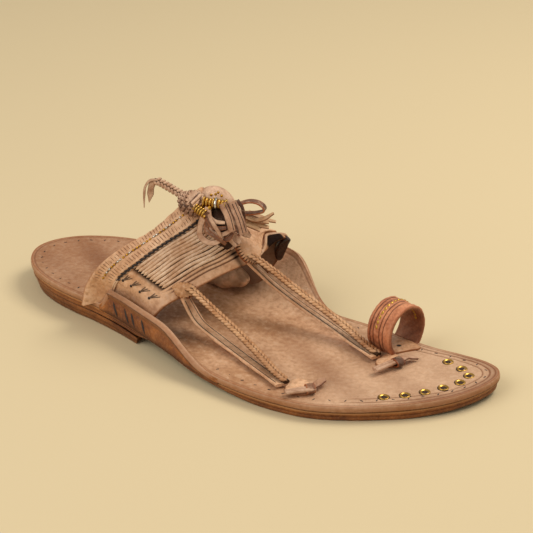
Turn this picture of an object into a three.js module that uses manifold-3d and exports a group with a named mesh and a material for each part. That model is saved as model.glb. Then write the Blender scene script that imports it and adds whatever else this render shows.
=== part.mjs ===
// A kolhapuri sandal for the right foot: thick sole leathers, an insole whose two ears turn up at the
// waist, a wide instep band, two braided straps, a toe ring and a thong ornament on the crest.
// Millimetres, +Z up. While a piece is drawn, x runs from the heel to the toe, y from the outer (little
// toe) side to the inner (big toe) side, and z is the height over the floor.
import * as THREE from 'three';
import { mergeVertices } from 'three/addons/utils/BufferGeometryUtils.js';
import Module from 'manifold-3d';

const wasm = await Module();
wasm.setup();

// ---- driving dimensions ----
const clearance = 0.3;            // left between pieces that touch
const insoleThickness = 3.4;
const outsoleThickness = 4.2;
const bandWall = 2.4;
const earWall = 3.0;
const heelFront = 98;             // where the heel lift ends, towards the toe
const heelInset = { top: 0.8, bottom: 3.2, backTop: 1, backBottom: 4 };
const waist = { start: 120, end: 158 };       // where the outsole comes down from the waist to the floor
const toeSpring = { start: 246, end: 290, height: 2.8 };
const lateralEar = { rearFrom: 68.5, rearTo: 78.5, frontFrom: 114, frontTo: 156, lift: 9.2, bend: 6 };
const medialEar = { rearFrom: 74, rearTo: 124, frontFrom: 146, frontTo: 184, lift: 20, bend: 14 };
const medialFlare = { rearFrom: 72, rearTo: 136, frontFrom: 138, frontTo: 176, width: 18 };
const footHollow = 1.1;           // how deep the wearer's foot has pressed the insole
const ring = { x: 222, y: 10.4, z: 18.6, radius: 13.6, wall: 2.6, width: 16.5, turn: -9, footAngle: 50, drop: 1.1 };
const braid = { width: 5.4, height: 4.4 };
const strap = { width: 6.4, thickness: 1.8 };
const eyelet = { radius: 2.3, wire: 0.75 };

// ---- colours of the finished leathers and metals ----
const tanLeather = { color: '#b98a63', roughness: 0.62, metalness: 0 };
const oiledLeather = { color: '#9a5a2c', roughness: 0.55, metalness: 0 };
const ringLeather = { color: '#8a4e33', roughness: 0.55, metalness: 0 };
const brass = { color: '#b98f3f', roughness: 0.3, metalness: 1 };

const sandal = new THREE.Group();

// Outline of the sole and height of the insole's upper face, one row for each cross section.
const soleRows = [
  { x: 2,     outer: 9.2,   inner: 9.2,  height: 15.3 },   // back of the heel
  { x: 5,     outer: -1.8,  inner: 20.2, height: 15.3 },
  { x: 14,    outer: -12.8, inner: 30.7, height: 15.3 },
  { x: 29,    outer: -21.8, inner: 38.7, height: 15.3 },
  { x: 46,    outer: -27.6, inner: 42.9, height: 15.3 },   // widest part of the heel
  { x: 64,    outer: -31.2, inner: 42.9, height: 15.1 },
  { x: 84,    outer: -36.4, inner: 39.4, height: 14.1 },
  { x: 102,   outer: -42.6, inner: 35,   height: 12.6 },   // waist
  { x: 120,   outer: -49.3, inner: 31.5, height: 11.1 },
  { x: 138,   outer: -56.5, inner: 29,   height: 9.8 },
  { x: 156,   outer: -62,   inner: 27.3, height: 8.9 },
  { x: 174,   outer: -65,   inner: 25.8, height: 8.4 },
  { x: 192,   outer: -66,   inner: 24.2, height: 8.3 },    // ball of the foot
  { x: 208,   outer: -64.6, inner: 22.4, height: 8.3 },
  { x: 224,   outer: -58.8, inner: 18.6, height: 8.4 },
  { x: 240,   outer: -50,   inner: 16,   height: 8.6 },
  { x: 256,   outer: -39,   inner: 15,   height: 9.1 },
  { x: 270,   outer: -25,   inner: 12.5, height: 9.9 },
  { x: 278,   outer: -11,   inner: 7.5,  height: 10.5 },
  { x: 280.5, outer: 1,     inner: 1,    height: 10.7 },   // tip of the toe
];

// The instep band, from its foot on the outer side over the crest to its foot on the inner side.
// Each row gives where that line of the band meets its rear edge, the braided seam and its front edge.
const bandRows = [
  { rear: [59.5, -34.8, 12], seam: [75, -29.5, 15.5],  front: [103, -34.5, 12] },   // outer foot
  { rear: [63, -34.4, 25],   seam: [77, -30.2, 24],    front: [106, -37.5, 18] },
  { rear: [71, -31.5, 38],   seam: [82, -31.2, 32.5],  front: [111, -35.2, 24] },
  { rear: [80, -24.8, 46.6], seam: [92, -28, 42],      front: [119.5, -27.6, 29.5] },
  { rear: [91.5, -16, 54],   seam: [101, -20, 50],     front: [130, -13, 35.5] },
  { rear: [103, -5, 66.5],   seam: [112, -10, 58.5],   front: [135, -4, 37] },
  { rear: [111, 3, 76],      seam: [120, 3, 67],       front: [139, 3, 38] },       // crest
  { rear: [104, 13, 66],     seam: [114, 15, 59],      front: [142, 13, 40.5] },
  { rear: [92, 27, 53],      seam: [104, 28.5, 49],    front: [144, 25, 44] },
  { rear: [77, 38.5, 39],    seam: [93, 37, 37],       front: [145, 36, 42] },
  { rear: [67, 44, 26],      seam: [87, 38, 25],       front: [140, 40, 28] },
  { rear: [60, 46.4, 12],    seam: [85, 33.5, 14.2],   front: [131, 29.5, 11] },    // inner foot
];

// ---- closed solids ----

// A closed mesh from points and triangles: equal points are joined, collapsed triangles are left out,
// and the faces are turned outwards if the volume comes out negative.
function closedGeometry(points, triangles) {
  const loose = new THREE.BufferGeometry();
  loose.setAttribute('position', new THREE.Float32BufferAttribute(points.flatMap((p) => [p.x, p.y, p.z]), 3));
  loose.setIndex(triangles.flat());
  const merged = mergeVertices(loose, 1e-4);
  const index = Array.from(merged.index.array);
  const kept = [];
  let volume = 0;
  const [a, b, c] = [new THREE.Vector3(), new THREE.Vector3(), new THREE.Vector3()];
  for (let i = 0; i < index.length; i += 3) {
    const [i0, i1, i2] = index.slice(i, i + 3);
    if (i0 === i1 || i1 === i2 || i2 === i0) continue;
    kept.push([i0, i1, i2]);
    a.fromBufferAttribute(merged.attributes.position, i0);
    b.fromBufferAttribute(merged.attributes.position, i1);
    c.fromBufferAttribute(merged.attributes.position, i2);
    volume += a.dot(b.cross(c));
  }
  const turned = volume < 0 ? kept.map(([i0, i1, i2]) => [i0, i2, i1]) : kept;
  merged.setIndex(turned.flat());
  return merged;
}

// The solid between an upper and a lower face, each a function of (u, v) from 0 to 1.
function slab(upper, lower, uSteps, vSteps) {
  const points = [];
  for (const face of [upper, lower]) {
    for (let i = 0; i <= vSteps; i += 1) {
      for (let j = 0; j <= uSteps; j += 1) points.push(face(j / uSteps, i / vSteps));
    }
  }
  const lowerStart = (uSteps + 1) * (vSteps + 1);
  const at = (i, j) => i * (uSteps + 1) + j;
  const triangles = [];
  for (let i = 0; i < vSteps; i += 1) {
    for (let j = 0; j < uSteps; j += 1) {
      const [p, q, r, s] = [at(i, j), at(i, j + 1), at(i + 1, j + 1), at(i + 1, j)];
      triangles.push([p, q, r], [p, r, s]);
      triangles.push([lowerStart + p, lowerStart + r, lowerStart + q]);
      triangles.push([lowerStart + p, lowerStart + s, lowerStart + r]);
    }
  }
  const wall = (p, q) => {
    triangles.push([p, lowerStart + p, lowerStart + q], [p, lowerStart + q, q]);
  };
  for (let j = 0; j < uSteps; j += 1) {
    wall(at(0, j), at(0, j + 1));
    wall(at(vSteps, j + 1), at(vSteps, j));
  }
  for (let i = 0; i < vSteps; i += 1) {
    wall(at(i + 1, 0), at(i, 0));
    wall(at(i, uSteps), at(i + 1, uSteps));
  }
  return closedGeometry(points, triangles);
}

function toManifold(geometry) {
  const bare = geometry.clone();
  bare.deleteAttribute('normal');
  bare.deleteAttribute('uv');
  const merged = mergeVertices(bare, 1e-4);
  return new wasm.Manifold(new wasm.Mesh({
    numProp: 3,
    vertProperties: new Float32Array(merged.attributes.position.array),
    triVerts: new Uint32Array(merged.index.array),
  }));
}

function fromManifold(solid) {
  const mesh = solid.getMesh();
  const geometry = new THREE.BufferGeometry();
  geometry.setAttribute('position', new THREE.BufferAttribute(new Float32Array(mesh.vertProperties), 3));
  geometry.setIndex(Array.from(mesh.triVerts));
  return geometry;
}

function addPiece(name, geometry, finish) {
  const piece = new THREE.Mesh(geometry, new THREE.MeshStandardMaterial(finish));
  piece.name = name;
  sandal.add(piece);
  return piece;
}

// A smooth line through points, open at both ends.
function lineThrough(points) {
  return new THREE.CatmullRomCurve3(points.map((p) => new THREE.Vector3(...p)), false, 'centripetal');
}

// A flat strip laid along a line: width across, thickness upwards, both square to the line.
function strip(points, width, thickness, steps, acrossHint = new THREE.Vector3(0, 1, 0)) {
  const line = lineThrough(points);
  const place = (u, v, side) => {
    const ahead = line.getTangent(v);
    const up = new THREE.Vector3().crossVectors(ahead, acrossHint).normalize();
    if (up.z < 0) up.negate();
    const across = new THREE.Vector3().crossVectors(up, ahead).normalize();
    return line.getPoint(v).addScaledVector(across, (u - 0.5) * width).addScaledVector(up, side * thickness / 2);
  };
  return slab((u, v) => place(u, v, 1), (u, v) => place(u, v, -1), 1, steps);
}

// A cord of oval section along a line.
function rod(points, width, height, steps, sides = 8) {
  const section = new THREE.Shape(new THREE.Path().absellipse(0, 0, width / 2, height / 2, 0, Math.PI * 2)
    .getSpacedPoints(sides).slice(0, sides));
  return new THREE.ExtrudeGeometry(section, { steps, bevelEnabled: false, extrudePath: lineThrough(points) });
}

// ---- the last ----

// One quantity of the sole rows as a smooth function of v, from the heel (0) to the toe (1). The row
// beyond each tip mirrors the outline, so that it rounds the tip without a corner.
const tipCount = soleRows.length - 1;
function outlineLine(side, otherSide) {
  const inside = soleRows.map((row) => [row.x, row[side], row.height]);
  const before = soleRows[1];
  const after = soleRows[tipCount - 1];
  return lineThrough([[before.x, before[otherSide], before.height], ...inside,
    [after.x, after[otherSide], after.height]]);
}
const outerLine = outlineLine('outer', 'inner');
const innerLine = outlineLine('inner', 'outer');
const onOutline = (line, v) => line.getPoint((1 + v * tipCount) / (tipCount + 2));

const ramp = THREE.MathUtils.smoothstep;
const hump = (x, shape) => ramp(x, shape.rearFrom, shape.rearTo) * (1 - ramp(x, shape.frontFrom, shape.frontTo));

// How high a turned-up ear stands at a share s of its bend, from flat (0) to its steep rim (1).
const earSteepness = 1.25;
function earRise(s) {
  const share = THREE.MathUtils.clamp(s, 0, 1);
  return (1 - Math.cos(share * earSteepness)) / (1 - Math.cos(earSteepness));
}

// Cross section of the last at v: its two edges and the height of the flat insole.
function sectionAt(v) {
  const outer = onOutline(outerLine, v);
  const inner = onOutline(innerLine, v);
  const outerEar = hump(outer.x, lateralEar);
  const innerEar = hump(inner.x, medialEar);
  return {
    x: (outer.x + inner.x) / 2,
    outer: outer.y,
    inner: inner.y,
    height: (outer.z + inner.z) / 2,
    outerRim: outer.y + earWall * outerEar,
    innerRim: inner.y + medialFlare.width * hump(inner.x, medialFlare),
    outerLift: lateralEar.lift * outerEar,
    innerLift: medialEar.lift * innerEar,
  };
}

// Depth of the worn hollow: under the heel and the ball, fading out towards the edges.
function hollowAt(x, across) {
  const along = Math.exp(-(((x - 38) / 26) ** 2)) + Math.exp(-(((x - 196) / 42) ** 2));
  return footHollow * along * Math.max(0, 1 - (2 * across - 1) ** 2) ** 1.5;
}

// Height of the insole's upper face over the section s, at y.
function insoleHeight(s, y) {
  const across = (y - s.outer) / Math.max(s.inner - s.outer, 1);
  const fromOuter = (s.outerRim + lateralEar.bend - y) / lateralEar.bend;
  const toInner = (y - s.inner + medialEar.bend) / (s.innerRim - s.inner + medialEar.bend);
  return s.height - hollowAt(s.x, THREE.MathUtils.clamp(across, 0, 1))
    + s.outerLift * earRise(fromOuter) + s.innerLift * earRise(toInner);
}

const crowded = (u) => 0.5 - 0.5 * Math.cos(Math.PI * u);    // crowds the grid lines at both edges

// A point of the insole at a depth below its upper face, square to that face.
function insolePoint(u, v, depth, overhang = 0) {
  const s = sectionAt(v);
  const y = THREE.MathUtils.lerp(s.outerRim - overhang, s.innerRim + overhang, crowded(u));
  const step = 0.02;
  const ahead = sectionAt(Math.min(v + step / 10, 1));
  const behind = sectionAt(Math.max(v - step / 10, 0));
  const slopeAlong = (insoleHeight(ahead, y) - insoleHeight(behind, y)) / (ahead.x - behind.x);
  const slopeAcross = (insoleHeight(s, y + step) - insoleHeight(s, y - step)) / (2 * step);
  const tip = THREE.MathUtils.clamp((s.inner - s.outer) / 30, 0, 1);
  const up = new THREE.Vector3(-slopeAlong * tip, -slopeAcross * tip, 1).normalize();
  return new THREE.Vector3(s.x, y, insoleHeight(s, y)).addScaledVector(up, -depth);
}

// ---- sole ----

const insoleUnder = (s, across) => s.height - insoleThickness - hollowAt(s.x, across);
const outsoleUnder = (s) => toeSpring.height * ramp(s.x, toeSpring.start, toeSpring.end)
  + (s.height - insoleThickness - clearance - outsoleThickness) * (1 - ramp(s.x, waist.start, waist.end));

function outsolePoint(u, v, face) {
  const s = sectionAt(v);
  const inset = face === 'lower' ? 0.9 : 0.2;
  const edge = Math.min(inset, (s.inner - s.outer) / 4);
  const y = THREE.MathUtils.lerp(s.outer + edge, s.inner - edge, crowded(u));
  const across = (y - s.outer) / Math.max(s.inner - s.outer, 1);
  const upper = insoleUnder(s, across) - clearance;
  return new THREE.Vector3(s.x, y, face === 'upper' ? upper : outsoleUnder(s));
}

function heelPoint(u, v, face) {
  const s = sectionAt(v);
  const inset = heelInset[face === 'upper' ? 'top' : 'bottom'];
  const half = Math.max((s.inner - s.outer) / 2 - inset, 0.5);
  const middle = (s.inner + s.outer) / 2;
  const back = soleRows[0].x + heelInset[face === 'upper' ? 'backTop' : 'backBottom'];
  const x = THREE.MathUtils.mapLinear(s.x, soleRows[0].x, heelFront, back, heelFront);
  const z = face === 'upper' ? s.height - insoleThickness - outsoleThickness - 2 * clearance : 0;
  return new THREE.Vector3(x, middle + half * (2 * crowded(u) - 1), z);
}

// Share of the outline from the back of the heel at which it reaches a distance x.
function shareAt(x) {
  let [low, high] = [0, 1];
  while (high - low > 1e-5) {
    const middle = (low + high) / 2;
    if (onOutline(outerLine, middle).x < x) low = middle;
    else high = middle;
  }
  return low;
}

const insoleSolid = slab((u, v) => insolePoint(u, v, 0), (u, v) => insolePoint(u, v, insoleThickness), 16, 48);
const heelShare = shareAt(heelFront);
addPiece('insole', insoleSolid, tanLeather);
addPiece('outsole', slab((u, v) => outsolePoint(u, v, 'upper'), (u, v) => outsolePoint(u, v, 'lower'), 8, 40),
  oiledLeather);
addPiece('heel_lift', slab((u, v) => heelPoint(u, v * heelShare, 'upper'),
  (u, v) => heelPoint(u, v * heelShare, 'lower'), 6, 16), oiledLeather);

// The insole swollen by the clearance all round: what is cut by it comes to rest just clear of the insole.
const insoleRoom = toManifold(slab((u, v) => insolePoint(u, v, -clearance, clearance),
  (u, v) => insolePoint(u, v, insoleThickness + clearance, clearance), 16, 48));
const restOnInsole = (geometry) => fromManifold(toManifold(geometry).subtract(insoleRoom));

// ---- instep band ----

const bandLines = ['rear', 'seam', 'front'].map((edge) => lineThrough(bandRows.map((row) => row[edge])));
const seamShare = 0.36;           // the seam's place between the rear edge (0) and the front edge (1)

// A point of the band's outer face: u runs over the foot, v from the rear edge to the front edge.
function bandFace(u, v) {
  const [rear, seam, front] = bandLines.map((line) => line.getPoint(u));
  const rearWeight = (v - seamShare) * (v - 1) / seamShare;
  const seamWeight = v * (v - 1) / (seamShare * (seamShare - 1));
  const frontWeight = v * (v - seamShare) / (1 - seamShare);
  return rear.multiplyScalar(rearWeight).addScaledVector(seam, seamWeight).addScaledVector(front, frontWeight);
}

function bandPoint(u, v, depth) {
  const step = 0.01;
  const along = bandFace(Math.min(u + step, 1), v).sub(bandFace(Math.max(u - step, 0), v));
  const ahead = bandFace(u, Math.min(v + step, 1)).sub(bandFace(u, Math.max(v - step, 0)));
  const outwards = ahead.cross(along).normalize();
  return bandFace(u, v).addScaledVector(outwards, -depth);
}

addPiece('instep_band', restOnInsole(slab((u, v) => bandPoint(u, v, 0), (u, v) => bandPoint(u, v, bandWall), 44, 8)),
  tanLeather);

// ---- braided straps and the toggles that hold them ----

const lateralRoute = {
  braid: [[126, -27, 32], [137, -27, 25.4], [154, -33, 19.4], [172, -43, 16], [183, -49.5, 13.9], [188.5, -52.8, 13.4]],
  strap: [[122, -28.5, 25], [129, -31, 18.5], [143, -34.5, 13.6], [157, -40, 10.6], [174, -47.5, 9.9], [188.5, -55.5, 9.8]],
};
const medialRoute = {
  braid: [[141, 6, 41.6], [153, 7, 33], [163, 6, 27.5], [175, 5, 22.5], [186, 4, 18.5], [200, 0, 15.4],
    [210, -4, 13.9], [216, -6.5, 13.4]],
  strap: [[143, 6, 34], [149, 8, 27], [168, 8, 18.6], [179, 7, 14.6], [192, 4, 11], [204, -1.5, 9.9], [216, -11, 9.8]],
};
addPiece('lateral_braid', rod(lateralRoute.braid, braid.width, braid.height, 22), tanLeather);
addPiece('lateral_strap', restOnInsole(strip(lateralRoute.strap, strap.width, strap.thickness, 22)), tanLeather);
addPiece('medial_braid', rod(medialRoute.braid, braid.width, braid.height, 26), tanLeather);
addPiece('medial_strap', restOnInsole(strip(medialRoute.strap, strap.width, strap.thickness, 26)), tanLeather);

const toggleSize = { width: 5.2, height: 3.6 };
const toggles = {
  lateral_toggle: [[195.5, -60.5, 10.6], [201, -52.5, 10.9], [208, -41, 10.8]],
  medial_toggle: [[225.5, -24.5, 10.6], [230.5, -14, 10.9], [236.5, -0.5, 10.9]],
};
for (const [name, route] of Object.entries(toggles)) {
  addPiece(name, restOnInsole(rod(route, toggleSize.width, toggleSize.height, 6)), tanLeather);
}

// ---- toe ring ----

// The ring is a band bent round the big toe: a is the share of the way round from one foot to the other.
function ringPoint(across, a, radius) {
  const foot = THREE.MathUtils.degToRad(ring.footAngle);
  const angle = THREE.MathUtils.lerp(-foot, Math.PI + foot, a);
  const flare = 1 + 0.04 * (2 * across - 1) ** 2;          // both edges stand a little outwards
  const rise = Math.sin(angle) * (Math.sin(angle) < 0 ? ring.drop : 1);
  const point = new THREE.Vector3((across - 0.5) * ring.width, Math.cos(angle) * radius * flare,
    rise * radius * flare);
  point.applyAxisAngle(new THREE.Vector3(0, 0, 1), THREE.MathUtils.degToRad(ring.turn));
  return point.add(new THREE.Vector3(ring.x, ring.y, ring.z));
}
addPiece('toe_ring', restOnInsole(slab((u, v) => ringPoint(u, v, ring.radius),
  (u, v) => ringPoint(u, v, ring.radius - ring.wall), 4, 28)), ringLeather);

// ---- brass eyelets round the toe ----

const eyeletPlaces = [[238, -41], [246.5, -35], [254, -28], [260.5, -20.5], [266, -12.5], [267.5, -4.5],
  [261.5, 1], [252.5, 5]];
const upperHeight = (x, y) => insoleHeight(sectionAt(shareAt(x)), y);
eyeletPlaces.forEach(([x, y], i) => {
  const wire = new THREE.TorusGeometry(eyelet.radius, eyelet.wire, 5, 12);
  const piece = addPiece(`eyelet_${i + 1}`, wire, brass);
  piece.position.set(x, y, upperHeight(x, y) + clearance + eyelet.wire);
});

// ---- thong ornament on the crest ----

function scallopedDisc(radius, thickness, scallops) {
  const outline = [];
  const steps = scallops * 2;
  for (let i = 0; i < steps; i += 1) {
    const angle = Math.PI * 2 * i / steps;
    const reach = radius - (i % 2) * radius * 0.1;
    outline.push(new THREE.Vector2(Math.cos(angle) * reach, Math.sin(angle) * reach));
  }
  return new THREE.ExtrudeGeometry(new THREE.Shape(outline), { depth: thickness, bevelEnabled: false });
}

// A close coil of wire as one ribbed sleeve along its own y axis, open through the middle.
function coil(turns, wire, bore) {
  const outline = [new THREE.Vector2(bore, 0)];
  for (let i = 0; i < turns; i += 1) {
    outline.push(new THREE.Vector2(bore + wire * 0.6, i * wire), new THREE.Vector2(bore + wire, (i + 0.5) * wire));
  }
  outline.push(new THREE.Vector2(bore + wire * 0.6, turns * wire), new THREE.Vector2(bore, turns * wire));
  outline.push(outline[0].clone());
  return new THREE.LatheGeometry(outline, 14);
}

function turnTo(piece, direction, from = new THREE.Vector3(0, 1, 0)) {
  piece.quaternion.setFromUnitVectors(from, new THREE.Vector3(...direction).normalize());
}

const rosette = addPiece('rosette', scallopedDisc(8.5, 2, 16), tanLeather);
rosette.position.set(109, -5.6, 69.4);
turnTo(rosette, [-0.25, -0.66, 0.7], new THREE.Vector3(0, 0, 1));

addPiece('tail_braid', rod([[104, -3.2, 77.4], [100, -4, 77.4], [94, -5.2, 79.3], [88.5, -6.4, 80]], 5, 4.4, 10),
  tanLeather);
addPiece('tail_thong_1', rod([[87.4, -5, 76.6], [86.2, -5.6, 71.5], [86.6, -6.4, 66.5]], 3, 1.8, 5, 6), oiledLeather);
addPiece('tail_thong_2', rod([[86.4, -9.6, 78], [84.8, -10.4, 71], [86, -10.8, 63.6]], 3, 1.8, 5, 6), oiledLeather);

const coilUpper = addPiece('brass_coil_1', coil(6, 2, 1.0), brass);
coilUpper.position.set(118.5, -5.5, 75.5);
turnTo(coilUpper, [11, 4, -2]);
const coilLower = addPiece('brass_coil_2', coil(4, 1.6, 1.2), brass);
coilLower.position.set(115.6, -14, 69);
turnTo(coilLower, [6, -2, -2]);

const loops = addPiece('thong_loops', new THREE.SphereGeometry(1, 16, 10), tanLeather);
loops.scale.set(8.5, 8, 7.5);
loops.position.set(130, -13, 61);
addPiece('flat_thongs', strip([[131, 2, 76], [136, 1, 70], [141, -1, 62]], 8.5, 1.4, 8), tanLeather);
addPiece('front_loop', strip([[132, 8, 66.5], [138, 10, 71], [146, 12, 70.6], [147, 12, 67], [139, 10, 65]], 4, 1.3, 14),
  tanLeather);
addPiece('fringe_thongs', strip([[130, 16, 62], [138, 20, 60], [146, 24, 55]], 7, 1.6, 8), tanLeather);

// The origin is on the floor, under the middle of the rectangle that the sandal covers.
const box = new THREE.Box3().setFromObject(sandal);
sandal.position.set(-(box.min.x + box.max.x) / 2, -(box.min.y + box.max.y) / 2, -box.min.z);

export default sandal;
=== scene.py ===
import math
import bpy
import numpy as np
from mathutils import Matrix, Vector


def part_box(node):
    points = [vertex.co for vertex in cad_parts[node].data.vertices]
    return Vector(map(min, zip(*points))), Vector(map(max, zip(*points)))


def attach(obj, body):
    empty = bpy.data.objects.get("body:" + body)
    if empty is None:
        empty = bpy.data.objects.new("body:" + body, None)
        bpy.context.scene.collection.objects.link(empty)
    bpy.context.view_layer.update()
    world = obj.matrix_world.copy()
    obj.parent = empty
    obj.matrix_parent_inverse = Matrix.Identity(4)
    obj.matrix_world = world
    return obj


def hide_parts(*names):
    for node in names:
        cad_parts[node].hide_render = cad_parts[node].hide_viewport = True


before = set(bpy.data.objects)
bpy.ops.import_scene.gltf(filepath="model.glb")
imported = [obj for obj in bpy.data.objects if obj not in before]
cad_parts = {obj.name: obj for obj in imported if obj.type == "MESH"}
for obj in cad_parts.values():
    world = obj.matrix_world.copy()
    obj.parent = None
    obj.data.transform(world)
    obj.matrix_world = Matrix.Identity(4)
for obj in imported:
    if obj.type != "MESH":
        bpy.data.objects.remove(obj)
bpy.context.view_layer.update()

# Shapes are drawn in millimetres: x from heel to toe, y towards the inner (big toe) side, z up from the
# floor. The first eyelet tells where this drawing lies in the shared frame.
firstEyelet = np.array([238, -41, 0])
eyeletLow, eyeletHigh = [np.array(corner) * 1000 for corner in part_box("eyelet_1")]
shoeOrigin = (eyeletLow + eyeletHigh) / 2 - firstEyelet
shoeOrigin[2] = 0

# Camera and light: lengths in millimetres, angles in degrees, lamps in watts
view = {"target": (152, 0, 10), "turn": 28, "rise": 28, "distance": 900, "lens": 116.2, "aimLift": 1.78}
light = {"key": 8.4, "keySize": 0.6, "fill": 8.0, "fillSize": 1.0, "sky": 0.48, "skyColour": "#fff6ea"}


def toMetres(point):
    return (np.asarray(point, float) + shoeOrigin) / 1000


def addCamera(view):
    turn, rise = math.radians(view["turn"]), math.radians(view["rise"])
    level = math.cos(rise)
    back = np.array([math.sin(turn) * level, -math.cos(turn) * level, math.sin(rise)])
    camera = bpy.data.objects.new("camera", bpy.data.cameras.new("camera"))
    camera.data.lens = view["lens"]
    camera.data.sensor_width = 36
    camera.data.clip_start = 0.05
    camera.location = toMetres(view["target"]) + back * view["distance"] / 1000
    camera.rotation_euler = (math.radians(90 - view["rise"] + view["aimLift"]), 0, turn)
    bpy.context.scene.collection.objects.link(camera)
    bpy.context.scene.camera = camera


def linear(code):
    # sRGB hex to the linear values that a shader works in
    parts = np.array([int(code[i:i + 2], 16) for i in (1, 3, 5)]) / 255
    return tuple(np.where(parts <= 0.04045, parts / 12.92, ((parts + 0.055) / 1.055) ** 2.4)) + (1.0,)


def addLamp(name, place, power, size, colour):
    # a square lamp turned to the middle of the shoe
    lamp = bpy.data.objects.new(name, bpy.data.lights.new(name, "AREA"))
    lamp.data.energy = power
    lamp.data.size = size
    lamp.data.color = linear(colour)[:3]
    lamp.location = place
    back = np.asarray(place, float) - np.array([0, 0, 0.02])
    reach = math.hypot(back[0], back[1])
    lamp.rotation_euler = (math.atan2(reach, back[2]), 0, math.atan2(back[1], back[0]) + math.pi / 2)
    bpy.context.scene.collection.objects.link(lamp)


addCamera(view)
addLamp("key_lamp", (0.45, 0.5, 1.0), light["key"], light["keySize"], "#fff4e2")
addLamp("fill_lamp", (-0.45, -0.9, 0.85), light["fill"], light["fillSize"], "#fdf8f0")
sky = bpy.data.worlds.new("sky")
sky.use_nodes = True
skyInputs = sky.node_tree.nodes["Background"].inputs
skyInputs["Color"].default_value = linear(light["skyColour"])
skyInputs["Strength"].default_value = light["sky"]
bpy.context.scene.world = sky
bpy.context.scene.view_settings.view_transform = "Standard"
print("camera and light are set")


# Surfaces: grids of points, and profiles carried along paths

def unit(vectors):
    return vectors / np.maximum(np.linalg.norm(vectors, axis=-1, keepdims=True), 1e-9)


def smoothStep(x, start, end):
    t = np.clip((np.asarray(x, float) - start) / (end - start), 0, 1)
    return t * t * (3 - 2 * t)


def hill(x, middle, reach):
    # a bell curve: 1 at the middle, a third at the reach
    return np.exp(-((x - middle) / reach) ** 2)


def splineAt(rows, t):
    # centripetal spline through the rows; t is 0 on the first row and 1 on the last
    p = np.asarray(rows, float)
    count = len(p) - 1
    p = np.vstack([2 * p[:1] - p[1:2], p, 2 * p[-1:] - p[-2:-1]])
    s = np.clip(np.asarray(t, float), 0, 1) * count
    i = np.minimum(s.astype(int), count - 1)
    w = (s - i)[..., None]
    a, b, c, d = p[i], p[i + 1], p[i + 2], p[i + 3]
    gaps = (b - a, c - b, d - c)
    ab, bc, cd = [np.maximum(np.linalg.norm(q, axis=-1, keepdims=True) ** 0.5, 1e-4) for q in gaps]
    m1 = ((b - a) / ab - (c - a) / (ab + bc) + (c - b) / bc) * bc
    m2 = ((c - b) / bc - (d - b) / (bc + cd) + (d - c) / cd) * bc
    return b + m1 * w + (3 * (c - b) - 2 * m1 - m2) * w ** 2 + (2 * (b - c) + m1 + m2) * w ** 3


def runLength(path):
    # distance along a path from its start to each of its points
    return np.concatenate([[0], np.cumsum(np.linalg.norm(np.diff(path, axis=0), axis=1))])


def evenly(rows, steps):
    # points at equal distances along a spline
    fine = splineAt(rows, np.linspace(0, 1, 400))
    run = runLength(fine)
    at = np.linspace(0, run[-1], steps)
    return np.stack([np.interp(at, run, fine[:, k]) for k in range(fine.shape[1])], 1)


def pathFrame(path, up):
    # unit directions ahead, sideways and upwards at every point of a path
    ahead = unit(np.gradient(path, axis=0))
    side = unit(np.cross(np.broadcast_to(np.asarray(up, float), path.shape), ahead))
    return ahead, side, np.cross(ahead, side)


def closedRings(rings, **marks):
    # rings of points in order, each closed on itself; marks give values at the same points
    rows, columns = rings.shape[:2]
    r, c = np.arange(rows - 1)[:, None], np.arange(columns)[None]
    after = (c + 1) % columns
    corners = [r * columns + c, r * columns + after, (r + 1) * columns + after, (r + 1) * columns + c]
    spread = {key: np.broadcast_to(value, (rows, columns)).ravel() for key, value in marks.items()}
    return {"points": rings.reshape(-1, 3), "faces": np.stack(corners, -1).reshape(-1, 4), "marks": spread}


def endsTwice(values):
    return np.concatenate([values[:1], values, values[-1:]])


def drawnIn(rings):
    # the two end rings are closed by rings shrunk to their middles
    tips = rings[[0, -1]].mean(axis=1, keepdims=True).repeat(rings.shape[1], axis=1)
    return np.concatenate([tips[:1], rings, tips[1:]])


def shell(outer, inner, **marks):
    # a closed wall: out over one face, back under the other, and its open ends drawn together
    loop = np.concatenate([outer, inner[:, ::-1]], axis=1)
    middle = (outer + inner) / 2
    lips = np.concatenate([middle, middle[:, ::-1]], axis=1)
    spread = {key: endsTwice(np.concatenate([face, back[:, ::-1]], axis=1))
              for key, (face, back) in marks.items()}
    return closedRings(np.concatenate([lips[:1], loop, lips[-1:]]), **spread)


def carry(path, profile, up, scale=None, **marks):
    # a closed profile (sideways, upwards) carried along a path, its ends drawn to a point
    path, profile = np.asarray(path, float), np.asarray(profile, float)
    _, side, top = pathFrame(path, up)
    scale = np.ones(len(path)) if scale is None else np.asarray(scale, float)
    rings = profile[None] * scale.reshape(len(path), 1, -1)
    body = path[:, None] + rings[..., :1] * side[:, None] + rings[..., 1:] * top[:, None]
    spread = {key: endsTwice(np.broadcast_to(value, body.shape[:2])) for key, value in marks.items()}
    return closedRings(drawnIn(body), **spread)


def oval(width, height, sides=12, squareness=2.0):
    # a superellipse: squareness 2 is an oval, 4 a rounded bar
    a = np.linspace(0, 2 * np.pi, sides, endpoint=False)
    x, y = np.cos(a), np.sin(a)
    power = 2 / squareness
    across, upwards = np.sign(x) * np.abs(x) ** power, np.sign(y) * np.abs(y) ** power
    return np.stack([across * width / 2, upwards * height / 2], 1)


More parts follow.
